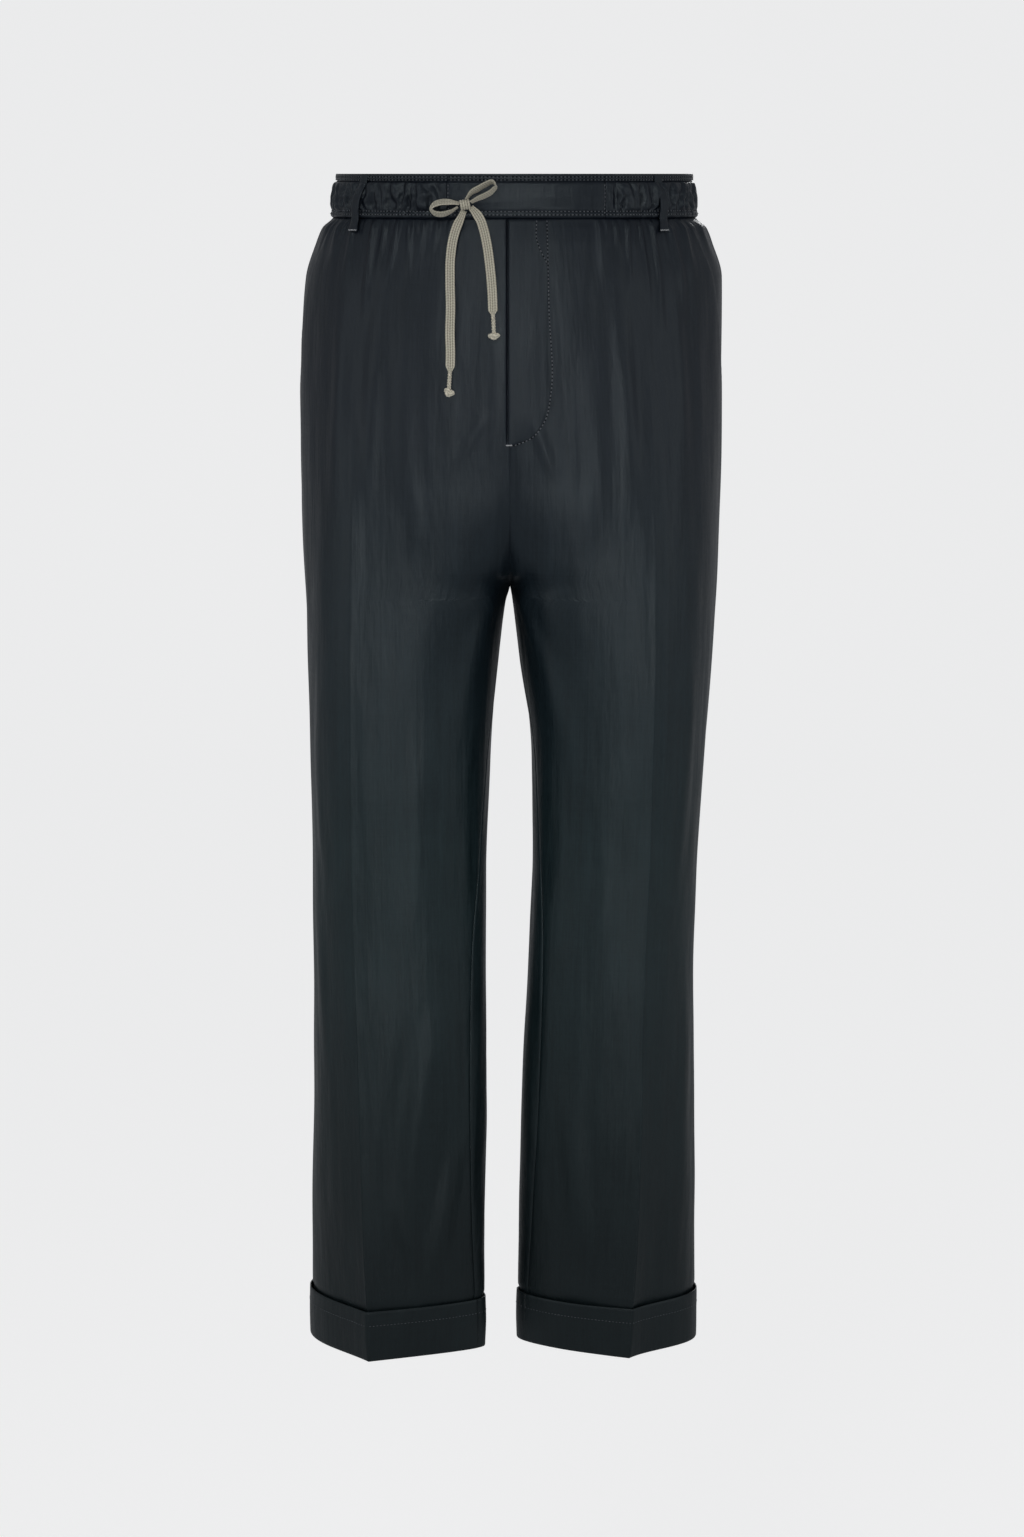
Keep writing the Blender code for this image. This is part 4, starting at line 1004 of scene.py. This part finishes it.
def bandOut(side, lengths, drop, start, puckers):
    flat = bandForm.at("flat", drop)
    if start is None:
        slow = softNoise(lengths, drop, 0.045, 0.006, 71) + softNoise(lengths, drop, 0.020, 0.004, 72) * 0.5
        return flat + 0.30 * mm * slow * hump((drop - bandSizes["middle"]) / bandSizes["half"])
    puffed = 0.10 + 0.90 * ramp(lengths, start, start + bandSizes["puffRamp"])
    bent = lengths + 0.0040 * softNoise(lengths, drop, 0.010, 0.0085, 83)
    crest = np.zeros_like(lengths)
    level = (drop - bandSizes["middle"]) / bandSizes["half"]
    for middle, height, pitch, lean, bend in puckers:
        shift = lean * 0.0080 * level + bend * 0.0050 * (1 - level * level)
        away = np.abs(bent - middle - shift) / (pitch * 0.53)
        crest = np.maximum(crest, height * np.maximum(1 - away ** 2.2, 0.0))
    slant = softNoise(lengths + drop * 0.8, drop - lengths * 0.3, 0.0052, 0.0105, 84)
    slant = slant + softNoise(lengths - drop * 0.9, drop, 0.0045, 0.0090, 85)
    small = 0.34 * slant + softNoise(lengths, drop, 0.0019, 0.0060, 82) * 0.14
    outseam = sectionAt(side, heights["bandFoot"]).marks[2]
    calm = 1 - 0.7 * hump((lengths - outseam) / bandSizes["sideCalm"])  # smoother at the side
    full = bandForm.at("puffed", drop) + bandForm.at("pucker", drop) * (crest * 1.75 - 0.85 + small) * calm
    return flat + (full - flat) * puffed


bandDrops = np.concatenate((np.linspace(0.0, 0.0062, 12), np.linspace(0.0067, heights["bandFoot"], 42)))


def bandRing(side, start):
    return bandPuckers(side, start, sectionAt(side, heights["bandFoot"]).marks[4])


def addElasticBand(side, start):
    puckers = bandRing(side, start)
    rows = [sectionAt(side, drop) for drop in bandDrops]
    finish = min(section.marks[4] for section in rows)
    lengths = np.linspace(start, finish, 262)
    outer, inner, cut = [], [], []
    for section in rows:
        spots = start + (lengths - start) * (section.marks[4] - start) / (finish - start)
        out = bandOut(side, lengths, section.drop, start, puckers)
        outer.append(section.place(spots, out))
        inner.append(section.place(spots, np.minimum(out - 0.0012, -0.0016)))
        cut.append(cutRow(lengths * 1.5, section.drop))
    made = addWall("waistband_elastic_" + side, outer, inner, cut, len(lengths), side == "right", "waistband")


def addFlatBand():
    right = [("right", length) for length in np.linspace(bandSizes["tabRight"], 0.0, 26)]
    left = [("left", length) for length in np.linspace(0.0, bandSizes["tabLeft"], 40)[1:]]
    outer, inner, cut = [], [], []
    for drop in bandDrops:
        for group in (right, left):
            side = group[0][0]
            section = sectionAt(side, drop)
            lengths = np.array([length for _, length in group])
            out = bandOut(side, lengths * section.sign, drop, None, None)
            outer.append(section.place(lengths, out))
            inner.append(section.place(lengths, -bandSizes["wall"]))
            cut.append(cutRow(lengths * section.sign, drop))
    made = addWall("waistband_front", np.vstack(outer), np.vstack(inner), np.vstack(cut), len(right + left),
                   False, "waistband")


addPanel("front_right", "right", 0, 2)
addPanel("front_left", "left", 0, 2)
addPanel("back_right", "right", 2, 4)
addPanel("back_left", "left", 2, 4)
print("panels made")
addElasticBand("right", bandSizes["tabRight"])
addElasticBand("left", bandSizes["tabLeft"])
addFlatBand()
print("waistband made")


flySizes = {"edge": -0.0017, "width": 0.0335, "straight": 0.189, "foot": 0.230, "rise": 0.0013}


def flyWidth(drop):
    if drop <= flySizes["straight"]:
        return flySizes["width"]
    fall = (drop - flySizes["straight"]) / (flySizes["foot"] - flySizes["straight"])
    return flySizes["width"] * math.sqrt(max(1.0 - fall * fall, 0.0))


def frontOut(x, drop):  # how far the front stands out there without the lap
    side = "left" if x >= 0 else "right"
    section = sectionAt(side, drop)
    length = section.lengthAtX(abs(x), "front")
    across = np.atleast_1d(np.interp(length, section.marks, np.arange(5)))
    return float(panelOut(side, across, section)[0])


def addFlyLap():
    drops = np.concatenate((np.arange(0.0381, flySizes["straight"], 0.003),
                            flySizes["straight"] + 0.0405 * np.sin(np.linspace(0, 1.5, 22))))
    outer, inner, cut = [], [], []
    for drop in drops:
        edge = flyWidth(drop)
        xs = np.concatenate(((flySizes["edge"], flySizes["edge"] + 0.0004), np.linspace(-0.0008, edge, 26)))
        out = np.array([frontOut(x, drop) for x in xs])
        rise = flySizes["rise"] * (1 - ramp(xs, 0.0, edge))
        rise = rise + 0.00010 * softNoise(xs, drop, 0.012, 0.03, 91) + 0.00005
        rise[0] -= 0.0004
        rise[-1] -= 0.0004
        outer.append([frontPoint(x, drop, o + r) for x, o, r in zip(xs, out, rise)])
        inner.append([frontPoint(x, drop, min(o, 0.0) - 0.0001) for x, o in zip(xs, out)])
        cut.append(cutRow(xs, drop))
    made = addWall("fly_lap", outer, inner, cut, len(xs), False, "trim")


addFlyLap()

strapSizes = {"width": 0.0090, "top": 0.0002, "foot": 0.0490, "thick": 0.0012}
straps = {
    "belt_loop_front_right": ("right", "front", 0.1245, 0.1335),
    "belt_loop_front_left": ("left", "front", 0.1270, 0.1310),
    "belt_loop_back_right": ("right", "rear", 0.0900, 0.0960),
    "belt_loop_back_left": ("left", "rear", 0.0940, 0.1000),
    "belt_loop_back_centre": ("right", "rear", 0.0, 0.0),
}


def strapOut(drop):  # a belt loop bridges the puffed band and is caught down at its ends
    return float(np.interp(drop / mm, (0, 3, 8.5, 14, 22, 30, 36, 40, 44, 47, 49),
                           (0.9, 1.0, 1.2, 4.4, 6.6, 6.0, 4.2, 3.8, 3.9, 3.7, 3.0))) * mm


def addStrap(name, side, half, top, foot):
    drops = np.linspace(strapSizes["top"], strapSizes["foot"], 40)
    outer, inner, cut = [], [], []
    parts = np.array((-0.5, -0.46, -0.3, -0.1, 0.1, 0.3, 0.46, 0.5))
    edge = np.array((-0.35, 0.0, 0.12, 0.0, 0.0, 0.12, 0.0, -0.35)) * mm
    for drop in drops:
        section = sectionAt(side, drop)
        out = strapOut(drop) + edge
        along = (drop - drops[0]) / (drops[-1] - drops[0])
        if top == 0.0:
            other = sectionAt("left", drop)
            spots = parts * strapSizes["width"]
            points, backs = [], []
            for spot, o in zip(spots, out):
                near = section if spot <= 0 else other
                length = near.marks[4] - abs(spot)
                points.append(near.place(length, o)[0])
                backs.append(near.place(length, o - strapSizes["thick"])[0])
            outer.append(points)
            inner.append(backs)
        else:
            spots = section.lengthAtX(top + (foot - top) * along, half) + parts * strapSizes["width"]
            outer.append(section.place(spots, out))
            inner.append(section.place(spots, out - strapSizes["thick"]))
        cut.append(cutRow(parts * strapSizes["width"], drop))
    addWall(name, outer, inner, cut, len(parts), side == "right", "trim")


for strapName, strapRow in straps.items():
    addStrap(strapName, *strapRow)
print("fly lap and belt loops made")


cuffSizes = {"inside": 0.030, "round": {"right": 0.450, "left": 0.431}, "cut": 0.080}


def cuffOut(side, across, section):
    u = section.lengthAt(across)
    level = (section.drop - heights["cuffTop"]) / (heights["hem"] - heights["cuffTop"])
    out = 0.30 * mm * softNoise(u, section.drop, 0.030, 0.020, 51 if side == "right" else 53)
    if side == "left":  # its inner half leans out above the stitching
        out = out + 1.5 * mm * hump((across - 0.52) / 0.46) * (1 - ramp(level, 0.0, 0.30))
    return out + (0.0017 + 0.0004 * math.sin(math.pi * min(max(level, 0.0), 1.0)))


def addCuff(name, side):
    columns = np.concatenate([np.linspace(i, i + 1, count)[:-1] for i, count in enumerate((61, 51, 51, 61))])
    top, hem = heights["cuffTop"], heights["hem"]
    ring = [(top + 0.0006, -0.0012), (top, -0.0005), (top + 0.0004, 0.0)]
    ring += [(drop, 0.0) for drop in np.linspace(top + 0.003, hem - 0.0012, 16)]
    ring += [(hem - 0.0003, -0.0004), (hem, -0.0011), (hem - 0.0004, -0.0022), (hem - 0.003, -0.0030)]
    ring += [(drop, -0.0030) for drop in np.linspace(hem - 0.008, hem - cuffSizes["inside"], 5)]
    verts, cut = [], []
    for drop, step in ring:
        section = sectionAt(side, drop)
        lengths = section.lengthAt(columns)
        verts.append(section.place(lengths, cuffOut(side, columns, section) + step))
        cut.append(cutRow(lengths, drop + step))
    faces = gridFaces(len(ring), len(columns), wrap=True, flip=side == "right")
    made = addMesh(name, np.vstack(verts), faces, np.vstack(cut), "trim", [name])


addCuff("cuff_right", "right")
addCuff("cuff_left", "left")
print("turned-up hems made")


# Stitching
stitchSizes = {"length": 0.0018, "pitch": 0.0033, "width": 0.00085, "fly": 0.0011, "hem": 0.00045,
               "holeShadeLength": 0.0011, "gap": 0.0002, "tack": 0.0009, "tackHalf": 0.0048, "tackTall": 0.0013}
stitchDrops = {"band": (0.0027, 0.0052, 0.0316, 0.0345), "cuff": 1.0315}
flyTack = {"drop": 229.5, "xs": (-3.4, 1.8), "tall": 0.0012}  # mm, mm, m
flyStitches = (([(31.3, 39), (33.2, 115), (34.8, 186), (30.5, 207), (20.0, 222), (0.5, 231)], 0.0006),
               ([(22.6, 39), (22.9, 56), (25.0, 62), (32.0, 76)], 0.0008))


def stitchParts(points, outward, size):  # one small rounded stitch for each pair of points
    ring = np.array(((0.0, 0.0), (0.22, 0.8), (0.5, 1.0), (0.78, 0.8), (1.0, 0.0)))
    spin = np.linspace(0, 2 * np.pi, 6, endpoint=False)
    parts = []
    for (a, b), out in zip(points, outward):
        way = b - a
        length = np.linalg.norm(way)
        way = way / length
        side = np.cross(way, out)
        side /= np.linalg.norm(side)
        up = np.cross(side, way)
        verts = []
        for t, r in ring:
            middle = a + (b - a) * t + up * size * 0.25 * math.sin(math.pi * t)
            reach = max(r, 0.15) * size / 2
            verts += [middle + (side * math.cos(s) + up * math.sin(s)) * reach for s in spin]
        faces = gridFaces(len(ring), 6, wrap=True)
        parts.append((np.array(verts), faces, np.array(verts)))
    return parts


def barTack(first, last, out, tall):  # a dense zigzag of thread from one point to the other
    count = 9
    up = np.array((0.0, 0.0, tall / 2))
    spots = [first + (last - first) * i / count for i in range(count + 1)]
    pairs = [(a + up * (-1) ** i, b - up * (-1) ** i) for i, (a, b) in enumerate(zip(spots, spots[1:]))]
    return stitchParts(pairs, np.tile(out, (count, 1)), stitchSizes["tack"])


def stitchLine(points, outs, start=0.0, length=stitchSizes["length"]):
    pitch = stitchSizes["pitch"]
    along = lengthsAlong(points)
    count = int(along[-1] / pitch)
    pairs, outward = [], []
    for i in range(count):
        spots = start + np.array((i * pitch, i * pitch + length))
        ends = np.stack([np.interp(spots, along, points[:, k]) for k in range(3)], -1)
        pairs.append((ends[0], ends[1]))
        outward.append([np.interp(spots[0], along, outs[:, k]) for k in range(3)])
    return pairs, np.array(outward).reshape(-1, 3)


def holeShadeLine(points, outs):  # near-black marks of painted shade in the needle holes between the stitches of a line
    return stitchLine(points, outs, stitchSizes["length"] + stitchSizes["gap"], stitchSizes["holeShadeLength"])


def outwardAt(section, lengths):
    return unit(section.place(lengths, 0.001) - section.place(lengths, 0.0))


tabs = (("right", bandSizes["tabRight"]), ("left", bandSizes["tabLeft"]))


def bandStitches(drop):
    runs = []
    for side, tab in tabs:
        section = sectionAt(side, drop)
        flat = np.linspace(0.0, tab, 60)
        out = bandOut(side, flat * section.sign, drop, None, None)
        runs.append((section.place(flat, out + 0.0001), outwardAt(section, flat)))
        puckers = bandRing(side, tab)
        lengths = np.linspace(tab, section.marks[4], 260)
        out = bandOut(side, lengths, drop, tab, puckers)
        runs.append((section.place(lengths, out + 0.0001), outwardAt(section, lengths)))
    return runs


def frontLine(spots, lift):  # a line on the front through (x, drop) in millimetres
    fine = smoothLine([(x * mm, drop * mm, 0.0) for x, drop in spots], 0.002)
    points, ups = [], []
    for x, drop in fine[:, :2]:
        out = frontOut(x, drop) + lift
        points.append(frontPoint(x, drop, out))
        ups.append(frontPoint(x, drop, out + 0.001))
    points, ups = np.array(points), np.array(ups)
    return points, unit(ups - points)


def addStitches():
    dark, pale, holeShades = [], [], []

    # each line also gets near-black capsules in the gaps between its stitches, painting the shade of the
    # needle holes
    def sew(line, size, withHoleShade=True):
        dark.extend(stitchParts(*stitchLine(*line), stitchSizes[size]))
        if withHoleShade:
            holeShades.extend(stitchParts(*holeShadeLine(*line), stitchSizes[size]))

    for drop in stitchDrops["band"]:
        for run in bandStitches(drop):
            sew(run, "width")
    for side, tab in tabs:  # across the band
        points, ups = [], []
        for drop in np.linspace(0.0088, 0.0350, 20):
            section = sectionAt(side, drop)
            out = bandForm.at("flat", drop) + 0.0002
            points.append(section.place(tab - 0.0012, out)[0])
            ups.append(section.place(tab - 0.0012, out + 0.001)[0])
        points, ups = np.array(points), np.array(ups)
        sew((points, unit(ups - points)), "width", False)
    for spots, lift in flyStitches:
        sew(frontLine(spots, lift), "fly")
    for side in sides:
        section = sectionAt(side, stitchDrops["cuff"])
        across = np.linspace(0.0, 4.0, 300)
        lengths = section.lengthAt(across)
        points = section.place(lengths, cuffOut(side, across, section) + 0.0001)
        sew((points, outwardAt(section, lengths)), "hem", False)
    for side, half, top, foot in straps.values():  # bar tacks at the foot of each belt loop
        drop = strapSizes["foot"] - 0.0012
        section = sectionAt(side, drop)
        reach, out = stitchSizes["tackHalf"], strapOut(drop) + 0.0002
        if top == 0.0:
            other = sectionAt("left", drop)
            points = np.vstack((section.place(section.marks[4] - reach, out),
                                other.place(other.marks[4] - reach, out)))
            up = (0.0, 1.0, 0.0)
        else:
            middle = section.lengthAtX(foot, half)
            spots = np.array((middle - reach, middle + reach))
            points = section.place(spots, out)
            up = outwardAt(section, spots)[0]
        pale.extend(barTack(points[0], points[1], up, stitchSizes["tackTall"]))
    tack = [frontPoint(x * mm, flyTack["drop"] * mm, 0.0016) for x in flyTack["xs"]]
    pale.extend(barTack(*tack, (0.0, -1.0, 0.0), flyTack["tall"]))
    for name, parts, thread in (("topstitching", dark, "thread"), ("bar_tacks", pale, "paleThread"),
                                ("needle_hole_shades", holeShades, "holeShades")):
        verts, faces, cut = joinParts(parts)
        addMesh(name, verts, faces, cut, thread, [])
    print("stitches:", len(dark) + len(pale))


addStitches()


# Studio
studio = {"floor": -1.75, "wall": 9.0, "side": 12.0, "round": 2.0, "top": 6.0, "pale": (0.45, 0.45, 0.45),
          "glow": 0.685}
lightRows = (  # name, place, target, width, height, power, spread
    ("front", (0.1, -3.4, -0.15), (0.0, 0.0, -0.45), 0.7, 0.7, 0.58, 18.0),
    ("key", (-0.6, -2.8, 1.6), (0.0, 0.0, -0.52), 0.9, 0.9, 0.60, 32.0),
    ("side_left", (-2.6, -1.4, -0.2), (0.0, 0.0, -0.5), 0.8, 1.6, 7.5, 180.0),
    ("side_right", (2.6, -1.4, -0.2), (0.0, 0.0, -0.5), 0.8, 1.6, 7.5, 180.0),
    ("back", (0.8, 3.0, 1.2), (0.0, 0.0, -0.5), 0.9, 0.9, 3.0, 50.0),
)
roomLight = {"colour": (0.94, 0.96, 1.0, 1.0), "strength": 0.33}


def addStage():
    count = 24
    radius, floor, wall = studio["round"], studio["floor"], studio["wall"]
    line = [(-studio["side"], floor)]
    for i in range(count + 1):
        turn = math.pi / 2 * i / count
        line.append((wall - radius + radius * math.sin(turn), floor + radius * (1 - math.cos(turn))))
    line.append((wall, studio["top"]))
    verts = [(x, y, z) for y, z in line for x in (-studio["side"], studio["side"])]
    faces = [(2 * i, 2 * i + 1, 2 * i + 3, 2 * i + 2) for i in range(len(line) - 1)]
    mesh = bpy.data.meshes.new("backdrop")
    mesh.from_pydata(verts, [], faces)
    mesh.shade_smooth()
    shader = Shader("backdrop", studio["pale"], 1.0, Specular_IOR_Level=0.0,
                    Emission_Color=(1.0, 1.0, 1.0, 1.0), Emission_Strength=studio["glow"])
    mesh.materials.append(shader.material)
    made = bpy.data.objects.new("backdrop", mesh)
    bpy.context.scene.collection.objects.link(made)
    made.visible_glossy = False  # the white room doesn't mirror in the satin
    made.visible_diffuse = False


def areaLight(name, place, target, width, height, power, spread):
    data = bpy.data.lights.new(name, "AREA")
    data.shape = "RECTANGLE"
    data.size, data.size_y = width, height
    data.energy = power
    data.spread = math.radians(spread)
    made = bpy.data.objects.new(name, data)
    made.location = place
    made.rotation_euler = (Vector(target) - Vector(place)).to_track_quat("-Z", "Y").to_euler()
    bpy.context.scene.collection.objects.link(made)


def addLights():
    for row in lightRows:
        areaLight(*row)
    world = bpy.data.worlds.new("world")
    world.use_nodes = True
    background = world.node_tree.nodes["Background"]
    background.inputs["Color"].default_value = roomLight["colour"]
    background.inputs["Strength"].default_value = roomLight["strength"]
    bpy.context.scene.world = world
    bpy.context.scene.view_settings.view_transform = "Standard"


addStage()
addLights()
print("studio made")
